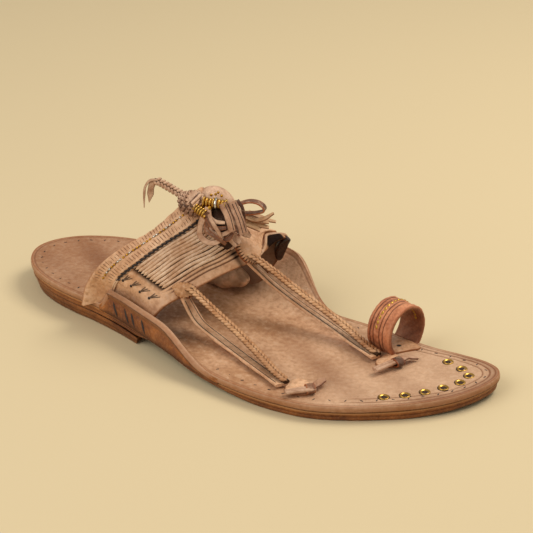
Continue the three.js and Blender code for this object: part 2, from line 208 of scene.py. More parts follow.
def copies(shape, places, ahead, up):
    # one small shape repeated: its x runs ahead, its z runs up
    places, ahead, up = [np.atleast_2d(np.asarray(q, float)) for q in (places, ahead, up)]
    ahead = unit(np.broadcast_to(ahead, places.shape))
    side = unit(np.cross(np.broadcast_to(up, places.shape), ahead))
    axes = np.stack([ahead, side, np.cross(ahead, side)], 1)
    points = places[:, None] + np.einsum("pk,nkj->npj", shape["points"], axes)
    faces = shape["faces"][None] + (np.arange(len(places)) * len(shape["points"]))[:, None, None]
    marks = {key: np.tile(values, len(places)) for key, values in shape["marks"].items()}
    return {"points": points.reshape(-1, 3), "faces": faces.reshape(-1, 4), "marks": marks}


def joined(shapes):
    starts = np.cumsum([0] + [len(shape["points"]) for shape in shapes])
    keys = set.intersection(*[set(shape["marks"]) for shape in shapes])
    return {"points": np.concatenate([shape["points"] for shape in shapes]),
            "faces": np.concatenate([shape["faces"] + start for shape, start in zip(shapes, starts)]),
            "marks": {key: np.concatenate([shape["marks"][key] for shape in shapes]) for key in keys}}


def ribbon(rows, width, wall, facing=None, axis=None, ends=(1.0, 1.0), steps=48):
    # a cut strip along the rows; its face looks to facing, or its width runs along axis
    path = evenly(rows, steps)
    ahead = unit(np.gradient(path, axis=0))
    up = facing if axis is None else np.cross(ahead, np.broadcast_to(axis, path.shape))
    s = np.linspace(0, 1, steps)
    taper = np.minimum(ends[0] + (1 - ends[0]) * s * 5, ends[1] + (1 - ends[1]) * (1 - s) * 3)
    taper = np.clip(taper, 0.05, 1) * (1 + 0.04 * np.sin(s * 17 + path[0, 0]))
    profile = oval(width, wall, 20, 5)
    cutEdge = np.abs(profile[:, 0] / width * 2) ** 6
    scale = np.stack([taper, np.ones(steps)], 1)
    return carry(path, profile, up, scale, raw=0.9 * cutEdge[None], worn=0.0, deep=0.0)


def patch(outline, place, wall, dome=0.0, teeth=0, toothed=(0.0, 1.0), steps=360):
    # a thin piece laid on a surface: rings from its middle over the rim and back under it. place gives a
    # point for (first, second, lift); its rim may be pinked with teeth over a share of its length
    loop = np.array([outline[-1]] + list(outline) + [outline[0], outline[1]], float)
    edge = splineAt(loop, np.linspace(1, len(outline) + 1, steps, endpoint=False) / (len(loop) - 1))
    s = np.linspace(0, 1, steps, endpoint=False)
    cut = (1 - np.abs(np.sin(np.pi * teeth * s))) ** 2 * (s >= toothed[0]) * (s <= toothed[1]) * (teeth > 0)
    middle = edge.mean(axis=0)
    r = np.array([0, 0.15, 0.3, 0.45, 0.6, 0.7, 0.8, 0.87, 0.92, 0.96, 0.985, 1, 1, 0.97, 0.6, 0])[:, None]
    rise = np.array([1, 1, 1, 1, 1, 1, 1, 1, 1, 0.95, 0.8, 0.5, 0, -0.2, -0.2, -0.2])[:, None]
    reach = r * (1 - 0.14 * cut[None] * r ** 6)
    flat = middle + (edge - middle)[None] * reach[..., None]
    wave = 0.12 * np.sin(9 * s[None] * 2 * np.pi + 5 * r) * np.sin(r * 7) * (rise > 0)
    points = place(flat[..., 0], flat[..., 1], rise * wall + dome * (1 - r ** 2) * (rise > 0) + wave)
    raw = np.clip((r - 0.94) * 18, 0, 1) * (rise > -0.1)
    # the notches between the teeth are painted with shade
    return closedRings(points, raw=0.8 * raw, worn=0.5 * raw, deep=np.clip(1.4 * raw * cut[None], 0, 0.9))


def spun(rows, sides=32):
    # rows of (radius, height) turned round the upright axis, closed at both ends
    rows = np.asarray(rows, float)
    a = np.linspace(0, 2 * np.pi, sides, endpoint=False)[None]
    points = np.stack([rows[:, :1] * np.cos(a), rows[:, :1] * np.sin(a), rows[:, 1:] + 0 * a], -1)
    return closedRings(np.concatenate([points[:1] * [0, 0, 1], points, points[-1:] * [0, 0, 1]]))


def pebble(look, s, a, bulge, upright=False):
    # an ellipsoid with its girth scaled by bulge: s runs from tip to tip and a round it
    girth = np.sin(s) * bulge
    ball = np.stack(np.broadcast_arrays(np.cos(s), girth * np.cos(a), girth * np.sin(a)), -1)
    ball = np.roll(ball, -1, axis=-1) if upright else ball
    return drawnIn(ball) * look["reach"] + look["middle"]


def grainOfRice(length, width, height, sides=6):
    # a short stitch: an oval drawn out to a point at both ends
    x = np.linspace(-1, 1, 7)
    path = np.stack([x * length / 2, 0 * x, 0 * x], 1)
    return carry(path, oval(width, height, sides), (0, 0, 1), np.sqrt(np.clip(1.02 - x ** 2, 0, 1)))


def makePiece(name, shape, material, stands=(), creaseAngle=50):
    # equal points are joined, collapsed faces dropped and the faces turned outwards
    flat, faces = shape["points"], shape["faces"]
    _, first, own = np.unique(np.round(flat, 3), axis=0, return_index=True, return_inverse=True)
    triangles = own.ravel()[np.concatenate([faces[:, [0, 1, 2]], faces[:, [0, 2, 3]]])]
    a, b, c = triangles.T
    triangles = triangles[(a != b) & (b != c) & (c != a)]
    places = flat[first]
    corners = places[triangles]
    if np.einsum("ij,ij->", corners[:, 0], np.cross(corners[:, 1], corners[:, 2])) < 0:
        triangles = triangles[:, ::-1]
    mesh = bpy.data.meshes.new(name)
    mesh.from_pydata(toMetres(places), [], triangles)
    for key, values in shape["marks"].items():
        mark = mesh.attributes.new(key, "FLOAT", "POINT")
        mark.data.foreach_set("value", np.asarray(values, np.float32)[first])
    mesh.shade_smooth()
    mesh.set_sharp_from_angle(angle=math.radians(creaseAngle))
    mesh.materials.append(material)
    piece = bpy.data.objects.new(name, mesh)
    bpy.context.scene.collection.objects.link(piece)
    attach(piece, "root")
    if stands:
        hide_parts(*stands)
    return piece


# Materials

def addNode(tree, kind, inputs=None, **settings):
    node = tree.nodes.new(kind)
    for key, value in settings.items():
        setattr(node, key, value)
    for key, value in (inputs or {}).items():
        if isinstance(value, bpy.types.NodeSocket):
            tree.links.new(value, node.inputs[key])
        else:
            node.inputs[key].default_value = value
    return node


def leather(name, hide, **changes):
    # Vegetable-tanned hide, waxed by hand: cloudy colour, specks and bare places of the grain side, stains,
    # pores and fine wrinkles. cloud, speck, grain and pore are sizes in mm. Four point attributes bring out its
    # other colours: faded places and painted light, wear and painted shade, cut edges and painted shade, and
    # the deep colour of painted shade in grooves, notches, recesses and under parts.
    look = dict(hide, **changes)
    material = bpy.data.materials.new(name)
    material.use_nodes = True
    tree = material.node_tree
    shader = tree.nodes["Principled BSDF"]
    place = addNode(tree, "ShaderNodeTexCoord").outputs["Object"]
    clouds = addNode(tree, "ShaderNodeTexNoise", {"Vector": place, "Scale": 1000 / look["cloud"],
                                                  "Detail": 5.0, "Roughness": 0.62}).outputs["Fac"]
    shade = addNode(tree, "ShaderNodeMapRange", {"Value": clouds, "From Min": 0.36, "From Max": 0.64})
    fine = addNode(tree, "ShaderNodeTexNoise", {"Vector": place, "Scale": 1000 / look["speck"],
                                                "Detail": 3.0}).outputs["Fac"]
    specks = addNode(tree, "ShaderNodeMapRange", {"Value": fine, "From Min": 0.48, "From Max": 0.7})
    bare = addNode(tree, "ShaderNodeMapRange", {"Value": fine, "From Min": 0.46, "From Max": 0.3})
    stains = addNode(tree, "ShaderNodeTexNoise", {"Vector": place, "Scale": 1000 / (3.1 * look["cloud"]),
                                                  "Detail": 4.0, "Roughness": 0.6, "Distortion": 0.8})
    stained = addNode(tree, "ShaderNodeMapRange", {"Value": stains.outputs["Fac"], "From Min": 0.5,
                                                   "From Max": 0.66})
    layers = [(specks.outputs["Result"], "worn", look["speckShare"]),
              (bare.outputs["Result"], "fade", look["speckShare"]),
              (stained.outputs["Result"], "stain", look["stainShare"])]
    for key in ("fade", "worn", "raw", "deep"):
        mark = addNode(tree, "ShaderNodeAttribute", attribute_name=key).outputs["Fac"]
        layers.append((mark, key, 1.0))
    colour = addNode(tree, "ShaderNodeMix", {0: shade.outputs["Result"], 6: linear(look["dark"]),
                                             7: linear(look["pale"])}, data_type="RGBA").outputs[2]
    for where, key, strength in layers:
        share = addNode(tree, "ShaderNodeMath", {0: where, 1: strength}, operation="MULTIPLY", use_clamp=True)
        colour = addNode(tree, "ShaderNodeMix", {0: share.outputs[0], 6: colour, 7: linear(look[key])},
                         data_type="RGBA").outputs[2]
    tree.links.new(colour, shader.inputs["Base Color"])
    # the last mark read, deep, also lowers the specular level, so painted shade has less sheen
    dull = addNode(tree, "ShaderNodeMath", {0: mark, 1: -0.45, 2: 0.5}, operation="MULTIPLY_ADD",
                   use_clamp=True)
    tree.links.new(dull.outputs[0], shader.inputs["Specular IOR Level"])
    rough = addNode(tree, "ShaderNodeMapRange", {"Value": fine, "From Min": 0.3, "From Max": 0.7,
                                                 "To Min": look["roughness"] - 0.08,
                                                 "To Max": look["roughness"] + 0.1})
    tree.links.new(rough.outputs["Result"], shader.inputs["Roughness"])
    shader.inputs["IOR"].default_value = 1.5
    pores = addNode(tree, "ShaderNodeTexVoronoi", {"Vector": place, "Scale": 1000 / look["pore"]}, feature="F1")
    grain = addNode(tree, "ShaderNodeTexNoise", {"Vector": place, "Scale": 1000 / look["grain"],
                                                 "Detail": 6.0, "Roughness": 0.7, "Distortion": 0.6})
    coarse = addNode(tree, "ShaderNodeBump", {"Height": grain.outputs["Fac"], "Strength": look["wrinkle"],
                                              "Distance": 0.0011})
    relief = addNode(tree, "ShaderNodeBump", {"Height": pores.outputs["Distance"],
                                              "Strength": look["poreDepth"], "Distance": 0.0002,
                                              "Normal": coarse.outputs["Normal"]})
    tree.links.new(relief.outputs["Normal"], shader.inputs["Normal"])
    return material


def plainFinish(name, code, roughness, metallic=0.0, relief=0.0, grit=0.4):
    # one colour with grit of so many millimetres: thread, wire and beads
    material = bpy.data.materials.new(name)
    material.use_nodes = True
    tree = material.node_tree
    shader = tree.nodes["Principled BSDF"]
    shader.inputs["Metallic"].default_value = metallic
    shader.inputs["Roughness"].default_value = roughness
    place = addNode(tree, "ShaderNodeTexCoord").outputs["Object"]
    noise = addNode(tree, "ShaderNodeTexNoise", {"Vector": place, "Scale": 1000 / grit, "Detail": 3.0})
    ramp = addNode(tree, "ShaderNodeValToRGB", {"Fac": noise.outputs["Fac"]})
    low, high = ramp.color_ramp.elements
    low.position, high.position = 0.35, 0.7
    low.color = tuple(0.55 * q for q in linear(code)[:3]) + (1,)
    high.color = linear(code)
    tree.links.new(ramp.outputs["Color"], shader.inputs["Base Color"])
    bump = addNode(tree, "ShaderNodeBump", {"Height": noise.outputs["Fac"], "Strength": relief,
                                            "Distance": 0.0002})
    tree.links.new(bump.outputs["Normal"], shader.inputs["Normal"])
    return material


# One hide: pale and dark clouds of the grain, worn and raw-edged places, bare, faded spots, and the colours of
# painted shade and light
tanHide = {"pale": "#d3a885", "dark": "#ab7b53", "worn": "#82502c", "raw": "#96541f", "deep": "#1c0c06",
           "fade": "#e2c2a4", "stain": "#95592c", "stainShare": 0.4, "cloud": 30, "speck": 2.4,
           "speckShare": 0.4, "grain": 3.0, "wrinkle": 0.7, "pore": 0.9, "poreDepth": 0.5, "roughness": 0.5}
insoleLeather = leather("vegetable_tanned_insole", tanHide)   # rubbed smooth and dull by the foot
upperLeather = leather("vegetable_tanned_upper", tanHide, pale="#ecc09a", dark="#c9966d", worn="#8a5734",
                       cloud=20, grain=2.6)                   # lighter, with a closer grain
soleLeather = leather("stacked_sole_leather", tanHide, pale="#aa662c", dark="#743c12", worn="#4a2509",
                      fade="#bb8048", stain="#5c2c0c", raw="#b98350", cloud=18, speck=1.6, speckShare=0.3,
                      wrinkle=0.8)                            # cut edges of layers, dyed and burnished brown
print("leathers are mixed")


# Sole: insole with its two ears, outsole and heel

sole = {"insole": 3.4, "outsole": 4.2, "gap": 0.3, "edgeBulge": 0.9, "hollow": 1.1, "sideSteps": 400,
        "arch": 2.6, "grooves": (4.6, 8.2), "grooveDepth": 0.4, "heelFront": 98, "heelMiddle": (54.0, 5.0)}
soleRows = [                    # distance from the heel, outer edge, inner edge, height of the insole
    (2, 9.2, 9.2, 15.3), (5, -1.8, 20.2, 15.3), (14, -12.8, 30.7, 15.3), (29, -21.8, 38.7, 15.3),
    (46, -27.6, 42.9, 15.3), (64, -31.2, 42.9, 15.1), (84, -36.4, 39.4, 14.1), (102, -42.6, 35, 12.6),
    (120, -49.3, 31.5, 11.1), (138, -56.5, 29, 9.8), (156, -62, 27.3, 8.9), (174, -65, 25.8, 8.4),
    (192, -66, 24.2, 8.3), (208, -64.6, 22.4, 8.3), (224, -58.8, 18.6, 8.4), (240, -50, 16, 8.6),
    (256, -39, 15, 9.1), (270, -25, 12.5, 9.9), (278, -11, 7.5, 10.5), (280.5, 1, 1, 10.7)]
outerEar = {"rear": (69.5, 76), "front": (114, 156), "lift": 9.2, "bend": 6}
innerEar = {"rear": (74, 124), "front": (146, 184), "lift": 20, "bend": 14}
innerFlare = {"rear": (72, 136), "front": (138, 176), "width": 18}
earWall, earSteepness = 3.0, 1.25


def edgeLine(side, otherSide, v):
    # the outline's edge; the row past each tip mirrors the other side, which rounds the tip
    rows = [(r[0], r[side], r[3]) for r in soleRows]
    first, last = soleRows[1], soleRows[-2]
    rows = [(first[0], first[otherSide], first[3])] + rows + [(last[0], last[otherSide], last[3])]
    return splineAt(rows, (1 + v * (len(soleRows) - 1)) / (len(soleRows) + 1))


def ridge(x, ear):
    return smoothStep(x, *ear["rear"]) * (1 - smoothStep(x, *ear["front"]))


shareLine = np.linspace(0, 1, 2400)
outerLine, innerLine = edgeLine(1, 2, shareLine), edgeLine(2, 1, shareLine)
middleLine = (outerLine + innerLine) / 2


def sectionAt(x):
    # outer edge, inner edge and height of the insole at a distance from the heel
    outerY, innerY = [np.interp(x, line[:, 0], line[:, 1]) for line in (outerLine, innerLine)]
    return outerY, innerY, np.interp(x, middleLine[:, 0], middleLine[:, 2])


def earRise(share):
    return (1 - np.cos(np.clip(share, 0, 1) * earSteepness)) / (1 - np.cos(earSteepness))


def insoleHeight(x, y):
    # flat height, less the foot's hollow, plus the two ears that turn up
    outerY, innerY, height = sectionAt(x)
    rimOuter = outerY + earWall * ridge(x, outerEar)
    rimInner = innerY + innerFlare["width"] * ridge(x, innerFlare)
    across = np.clip((y - outerY) / np.maximum(innerY - outerY, 1), 0, 1)
    tread = hill(x, 38, 26) + hill(x, 196, 42)
    hollow = sole["hollow"] * tread * np.maximum(0, 1 - (2 * across - 1) ** 2) ** 1.5
    fromOuter = (rimOuter + outerEar["bend"] - y) / outerEar["bend"]
    toInner = (y - innerY + innerEar["bend"]) / (rimInner - innerY + innerEar["bend"])
    return (height - hollow + outerEar["lift"] * ridge(x, outerEar) * earRise(fromOuter)
            + innerEar["lift"] * ridge(x, innerEar) * earRise(toInner))


def insoleNormal(x, y):
    # from the slopes of the height, over a quarter of a millimetre each way
    slopeX = (insoleHeight(x + 0.25, y) - insoleHeight(x - 0.25, y)) / 0.5
    slopeY = (insoleHeight(x, y + 0.25) - insoleHeight(x, y - 0.25)) / 0.5
    return unit(np.stack([-slopeX, -slopeY, np.ones_like(slopeX)], -1))


def onInsole(x, y, lift=0.0):
    return np.stack(np.broadcast_arrays(x, y, insoleHeight(x, y) + lift), -1)


def perimeter(steps, flared):
    # the edge all round, from the heel along the outer side to the toe and back, with its partner on the spine
    run = runLength(outerLine[:, :2]) + runLength(innerLine[:, :2])
    v = np.interp(np.linspace(0, run[-1], steps + 1), run, shareLine)
    outer, inner = edgeLine(1, 2, v), edgeLine(2, 1, v)
    if flared:
        outer[:, 1] += earWall * ridge(outer[:, 0], outerEar)
        inner[:, 1] += innerFlare["width"] * ridge(inner[:, 0], innerFlare)
    x = (outer[:, 0] + inner[:, 0]) / 2
    spineX = 42 + (x - 2) * (240 - 42) / 278.5
    low, high, _ = sectionAt(spineX)
    spine = np.stack([spineX, (low + high) / 2], 1)
    order = np.concatenate([np.arange(steps + 1), np.arange(steps - 1, 0, -1)])
    edge = np.concatenate([outer[:, :2], inner[-2:0:-1, :2]])
    return edge, spine[order]


def insoleShape():
    # rings run from the spine out to the edge, round the edge and back under
    edge, spine = perimeter(sole["sideSteps"], True)
    near = np.array([0, 0.25, 0.55, 0.9] + list(np.arange(1.25, 9.8, 0.35)) + [10.4, 11.2, 12.2, 13.4])
    reach = np.linalg.norm(spine - edge, axis=1)
    direction = (spine - edge) / reach[:, None]
    far = np.linspace(0, 1, 40)[1:]
    distance = np.concatenate([near[:, None].repeat(len(edge), 1),
                               near[-1] + far[:, None] * (reach[None] - near[-1])])
    xy = edge[None] + direction[None] * distance[..., None]
    top = onInsole(xy[..., 0], xy[..., 1])
    x, y = top[..., 0], top[..., 1]
    normal = insoleNormal(x + 0.3 * direction[..., 0], y + 0.3 * direction[..., 1])
    outerY, innerY, _ = sectionAt(x)
    toe = smoothStep(x, 214, 236)
    groove = sum(hill(distance, at, 0.45) for at in sole["grooves"]) * toe + 0.7 * hill(distance, 1.9, 0.4)
    wave = (np.sin(x * 0.42 + 2.2 * np.sin(y * 0.11)) * np.sin(y * 0.33 + 1.4 * np.sin(x * 0.07))
            + 0.6 * np.sin(x * 0.91 + 1.7 * np.sin(y * 0.23) + 1))
    crease = 0.16 * np.sin(y * 1.1 + 2.5 * np.sin(x * 0.045)) * hill(x, 150, 26) * hill(y, -38, 16)
    lift = (0.09 * wave + crease) * smoothStep(distance, 1, 5) - sole["grooveDepth"] * groove
    top = top + normal * lift[..., None]
    bottom = top[0] - normal[0] * sole["insole"]
    tangent = unit(np.roll(top[0], -1, axis=0) - np.roll(top[0], 1, axis=0))
    outward = np.cross(tangent, normal[0])
    outward *= np.sign(((edge - spine) * outward[:, :2]).sum(1))[:, None]
    angle = np.linspace(0, np.pi, 14)[1:-1, None, None]
    depth = (1 - np.cos(angle)) / 2
    wall = top[0] + (bottom - top[0]) * depth + outward * sole["edgeBulge"] * (np.sin(angle) ** 0.55 - 0.6)
    ringsUnder = [0, 8, 16, 30, 50, -1]
    under = top[ringsUnder] - normal[ringsUnder] * sole["insole"]
    down = np.broadcast_to(depth[..., 0], (len(wall), len(edge)))

    def marked(upper, side, beneath):
        return np.concatenate([upper[::-1], side, np.full((len(under), len(edge)), beneath)])

    ear = ridge(x, outerEar) * (y < outerY + 12) + ridge(x, innerEar) * (y > innerY - 6)
    rubbed = np.maximum(hill(x, 196, 60) * hill(y, -26, 34), hill(x, 40, 34) * hill(y, 9, 24))
    rubbed = rubbed * (0.6 + 0.4 * np.sin(x * 0.13 + y * 0.19)) * (1 - 0.6 * np.clip(ear, 0, 1))
    # darker blotches beside the band's outer foot: scuffs, and painted shade under the band
    scuffsAndShade = smoothStep(np.sin(x * 0.31 + 2 * np.sin(y * 0.17)), 0.2, 1) * hill(x, 122, 15) * hill(y, -37, 9)
    border = (1 - smoothStep(distance, 1, 9)) * smoothStep(x, 236, 264)
    heel = 1 - smoothStep(x, 60, 110)
    # the top's darker places: foot wear, tooled grooves, the scuffs with painted shade, the toe's border and
    # the heel
    stain = 0.55 * rubbed + 0.8 * groove + 0.3 * scuffsAndShade + 0.6 * border + 0.3 * heel
    lip = np.clip(ridge(x, outerEar) * (1 - smoothStep(distance, 0, 3)) * (y < 0), 0, 1)
    pale = np.clip(0.4 * smoothStep(x, 170, 235) + 0.75 * lip, 0, 1)
    # painted shade under both feet of the band
    underBand = (0.6 + 0.1 * np.sin(x * 0.5 + y * 0.9)) * hill(x, 120, 15) * hill(y, -38, 8)
    shadow = np.clip(underBand + 0.5 * hill(x, 122, 14) * hill(y, 27, 5), 0, 1)
    cut = (0.75 - 0.45 * lip) * hill(distance, 0, 0.9)
    # the wall is painted paler at the top and darker towards the bottom, darkest at its foot and underneath:
    # painted light and shade
    return closedRings(np.concatenate([top[::-1], wall, under]),
                       worn=marked(np.clip(stain, 0, 1), 0.1 + 0.35 * down, 0.6),
                       raw=marked(cut, 0.15 + 0.3 * np.sin(down * np.pi), 0.5),
                       deep=marked(shadow, smoothStep(down, 0.8, 1) * 0.7, 0.2),
                       fade=marked(pale, (0.3 + 0.4 * lip[0]) * (1 - down), 0))


def layerWall(edge, middle, topZ, bottomZ, inset, layers, steps=28):
    # a stack of leather layers: each one bulges a little, with a groove between
    t = np.linspace(0, 1, steps)[:, None]
    z = topZ + (bottomZ - topZ) * t
    bulge = np.abs(np.sin(np.pi * layers * t)) ** 0.4 * 0.55 - 0.55
    shift = (inset[0] + (inset[1] - inset[0]) * t - bulge)[..., None]
    wall = np.concatenate([edge[None] - unit(edge - middle)[None] * shift, z[..., None]], -1)
    groove = np.broadcast_to(1 - np.abs(np.sin(np.pi * layers * t)) ** 0.5, z.shape)
    return wall, groove, np.broadcast_to(t, z.shape)


def padded(values, rows, value):
    # the same mark on the rings over and under a wall
    return np.pad(values, ((rows, rows), (0, 0)), constant_values=value)


def outsoleUnder(x, height):
    # down to the floor at heel and ball, with a low arch at the waist and a spring at the toe
    rest = height - sole["insole"] - sole["gap"] - sole["outsole"]
    arch = sole["arch"] * smoothStep(x, 94, 108) * (1 - smoothStep(x, 148, 186))
    return 2.8 * smoothStep(x, 246, 290) + rest * (1 - smoothStep(x, 120, 158)) + arch


def outsoleShape():
    edge, spine = perimeter(sole["sideSteps"], False)
    height, spineHeight = sectionAt(edge[:, 0])[2], sectionAt(spine[:, 0])[2]
    below = sole["insole"] + sole["gap"]
    wall, groove, t = layerWall(edge, spine, height - below, outsoleUnder(edge[:, 0], height), (0.2, 0.9), 2)
    spineTop = np.concatenate([spine, (spineHeight - below - 1.2)[:, None]], 1)
    spineBottom = np.concatenate([spine, outsoleUnder(spine[:, 0], spineHeight)[:, None]], 1)
    halfTop, halfBottom = (spineTop + wall[0]) / 2, (spineBottom + wall[-1]) / 2
    rings = np.concatenate([spineTop[None], halfTop[None], wall, halfBottom[None], spineBottom[None]])
    paleTop = 0.85 * smoothStep(0.28 - t, 0, 0.2)
    # the wall is painted darker towards the bottom and in the grooves between its layers, and darker still
    # underneath: painted shade
    return closedRings(rings, worn=padded(0.35 * t, 2, 0.8), raw=padded(paleTop, 2, 0),
                       deep=padded(0.9 * groove ** 2, 2, 0.2))


def heelShape():
    # the outline as far as the heel's front, closed by a straight face, and drawn in to its middle
    frontX, steps = sole["heelFront"], 240
    v = np.linspace(0, np.interp(frontX, outerLine[:, 0], shareLine), steps)
    outer, inner = edgeLine(1, 2, v), edgeLine(2, 1, v)
    share = np.linspace(0, 1, 40)[1:-1, None]
    front = outer[-1] + (inner[-1] - outer[-1]) * share
    loop = np.concatenate([outer, front, inner[:0:-1]])
    loop[:, 0] = 3 + (loop[:, 0] - 2) * (frontX - 3) / (frontX - 2)
    top = loop[:, 2] - sole["insole"] - sole["outsole"] - 2 * sole["gap"]
    wall, groove, t = layerWall(loop[:, :2], np.array([sole["heelMiddle"]]), top, 0 * top, (0.8, 3.2), 2)
    above, below = [np.full((1, len(loop), 3), (*sole["heelMiddle"], z)) for z in (top.mean(), 0.0)]
    # the wall is painted darker towards the floor and in the grooves between its layers, and its top and bottom
    # faces dark: painted shade
    return closedRings(np.concatenate([above, wall, below]), worn=padded(0.2 + 0.4 * t, 1, 0.6),
                       deep=padded(0.8 * groove ** 2, 1, 0.6))


makePiece("insole_shaped", insoleShape(), insoleLeather, ["insole"])
makePiece("outsole_layers", outsoleShape(), soleLeather, ["outsole"])
makePiece("heel_layers", heelShape(), soleLeather, ["heel_lift"])
print("sole is built")


# Instep band, with its ribs, tooling and stitches

band = {"wall": 2.4, "seam": 0.36, "strip": 0.9, "ribs": 10, "ribFrom": 0.405, "ribTo": 0.825,
        "ribStart": 0.245, "ribEnd": 0.765, "tickApart": 1.75, "beadApart": 2.1, "beadLine": 0.178,
        "stitchApart": 2.7, "fansAt": (0.43, 0.56, 0.69, 0.82)}
bandRows = [                    # from the outer foot over the crest to the inner foot: rear, seam, front
    ((59.5, -34.8, 12), (75, -29.5, 15.5), (103, -34.5, 12)),
    ((63, -34.4, 25), (77, -30.2, 24), (106, -37.5, 18)),
    ((71, -31.5, 38), (82, -31.2, 32.5), (111, -35.2, 24)),
    ((80, -24.8, 46.6), (92, -28, 42), (119.5, -27.6, 29.5)),
    ((91.5, -16, 54), (101, -20, 50), (130, -13, 35.5)),
    ((103, -5, 66.5), (112, -10, 58.5), (135, -4, 37)),
    ((111, 3, 76), (120, 3, 67), (139, 3, 38)),
    ((104, 13, 66), (114, 15, 59), (142, 13, 40.5)),
    ((92, 27, 53), (104, 28.5, 49), (144, 25, 44)),
    ((77, 38.5, 39), (93, 37, 37), (145, 36, 42)),
    ((67, 44, 26), (87, 38, 25), (140, 40, 28)),
    ((60, 46.4, 12), (85, 33.5, 14.2), (131, 29.5, 11))]


def bandFace(u, v):
    # a parabola from rear edge through the seam to the front edge, at each place along the three lines
    rear, seam, front = [splineAt([row[k] for row in bandRows], u) for k in range(3)]
    v, s = np.asarray(v, float)[..., None], band["seam"]
    rearShare, seamShare, frontShare = (v - s) * (v - 1) / s, v * (v - 1) / (s * (s - 1)), v * (v - s) / (1 - s)
    return rear * rearShare + seam * seamShare + front * frontShare


def bandAt(u, v, lift=0.0):
    # a place on the band raised by lift, and the band's outward direction there
    u, v = np.broadcast_arrays(np.asarray(u, float), np.asarray(v, float))
    along = bandFace(np.minimum(u + 0.004, 1), v) - bandFace(np.maximum(u - 0.004, 0), v)
    ahead = bandFace(u, v + 0.01) - bandFace(u, v - 0.01)
    out = unit(np.cross(ahead, along))
    return bandFace(u, v) + out * np.asarray(lift, float)[..., None], out


def alongBand(v, start, end, apart):
    # places at equal distances along one line of the band
    u = np.linspace(start, end, 600)
    run = runLength(bandFace(u, np.full(600, v)))
    return np.interp(np.arange(0, run[-1], apart), run, u)


def within(t, start, end, soft):
    # 1 between start and end, falling to 0 over the soft width outside them
    return smoothStep(t, start - soft, start) * (1 - smoothStep(t, end, end + soft))


def roundedEdge(distance, radius):
    # how much of a wall's thickness is left near its edge
    return np.sqrt(np.clip(1 - (1 - np.clip(distance / radius, 0, 1)) ** 2, 0, 1))


def bandShape():
    u = np.linspace(0, 1, 330)[:, None]
    v = np.concatenate([[0, 0.006, 0.014, 0.025], np.linspace(0.045, 0.955, 116), [0.975, 0.986, 0.994, 1]])
    u, v = np.broadcast_arrays(u, v[None])
    ribbed = within(u, band["ribStart"], band["ribEnd"], 0.02) * within(v, band["ribFrom"], band["ribTo"], 0.01)
    strip = 1 - smoothStep(v, 0.342, 0.362)
    lines = (hill(v, 0.865, 0.008) + hill(v, 0.905, 0.007)) * within(u, 0.27, 0.8, 0.04)
    pucker = 0.22 * np.sin(u * 210 + 3 * np.sin(v * 9)) * hill(v, 0.03, 0.05)
    pucker = pucker + 0.18 * np.sin(u * 60 + v * 14) * np.sin(v * 17 + 1)
    fold = 0.9 * np.sin(v * 30 + 5 * u) * hill(u, 0.79, 0.1) * smoothStep(v, 0.5, 0.8)
    lift = band["strip"] * strip - 0.5 * ribbed - 0.45 * lines + pucker + fold
    distance = np.minimum(v, 1 - v) * 46
    half = band["wall"] / 2 * roundedEdge(distance, 1.1)
    _, out = bandAt(u, v)
    middle = bandFace(u, v) - out * (band["wall"] / 2)
    outer = middle + out * (half + lift * smoothStep(distance, 0, 1.5))[..., None]
    lining = 0.35 * np.sin(u * 90 + 4 * np.sin(v * 5)) * hill(u, 0.85, 0.16) * smoothStep(v, 0.3, 0.9)
    inner = middle - out * (half + lining)[..., None]
    # the band's lower part is painted darker and oranger: painted shade
    low = 1 - smoothStep(outer[..., 2], 16, 31)
    worn = 0.06 * low + 0.9 * lines + 0.6 * hill(v, 0.365, 0.008) + 0.25 * hill(v, 0.94, 0.05)
    worn = np.clip(worn, 0, 1)
    raw = 0.7 * (1 - smoothStep(distance, 0, 0.8)) + 0.18 * low
    # painted shade in the cave under the front edge, under the far tab's edge, between the ribs and in the
    # pressed lines; the inside of the band is painted in shade
    cave = smoothStep(hill(u, 0.735, 0.06) * smoothStep(v, 0.88, 0.98), 0.35, 0.55)
    underTab = 0.75 * hill(u, 0.512, 0.016) * smoothStep(v, 0.72, 0.85)
    deep = np.clip(0.97 * ribbed + 0.55 * lines + cave + underTab, 0, 1)
    insideDeep = 0.38 + 0.5 * hill(u, 0.74, 0.14) * smoothStep(v, 0.5, 0.9)
    return shell(outer, inner, worn=(worn, 0.55 + 0 * worn), raw=(raw, raw), deep=(deep, insideDeep))


def ribShape(index):
    # one rounded rib, thinner at both ends
    start, end = band["ribStart"], band["ribEnd"]
    u = np.linspace(start, end, 170)
    step = (band["ribTo"] - band["ribFrom"]) / band["ribs"]
    v = band["ribFrom"] + (index + 0.5) * step + 0.003 * np.sin(u * 40 + index * 2.1)
    path, out = bandAt(u, v, -0.1)
    ends = 0.25 + 0.75 * within(u, start + 0.012, end - 0.012, 0.012)
    return carry(path, oval(1.8, 1.9, 12, 2.2), out, ends * (1 + 0.05 * np.sin(index * 5 + u * 31)))


def stitchesOnBand(shape, u, v, heading, lift):
    # copies laid on the band, each pointing along its heading in (u, v)
    u, v, du, dv = np.broadcast_arrays(u, v, *heading)
    place, out = bandAt(u, v, lift)
    return copies(shape, place, bandFace(u + 0.002 * du, v + 0.002 * dv) - bandFace(u, v), out)


def lineOnBand(v, start, end, steps, lift, width, height):
    # a thin bar along the band
    path, out = bandAt(np.linspace(start, end, steps), v, lift)
    return carry(path, oval(width, height), out)


paleHide = dict(tanHide, pale="#f2d5b8", dark="#cca17d", worn="#8a5a33", cloud=12, grain=2.0, speckShare=0.3)
ribLeather = leather("skived_rib_leather", paleHide)                        # shaved thin, so paler
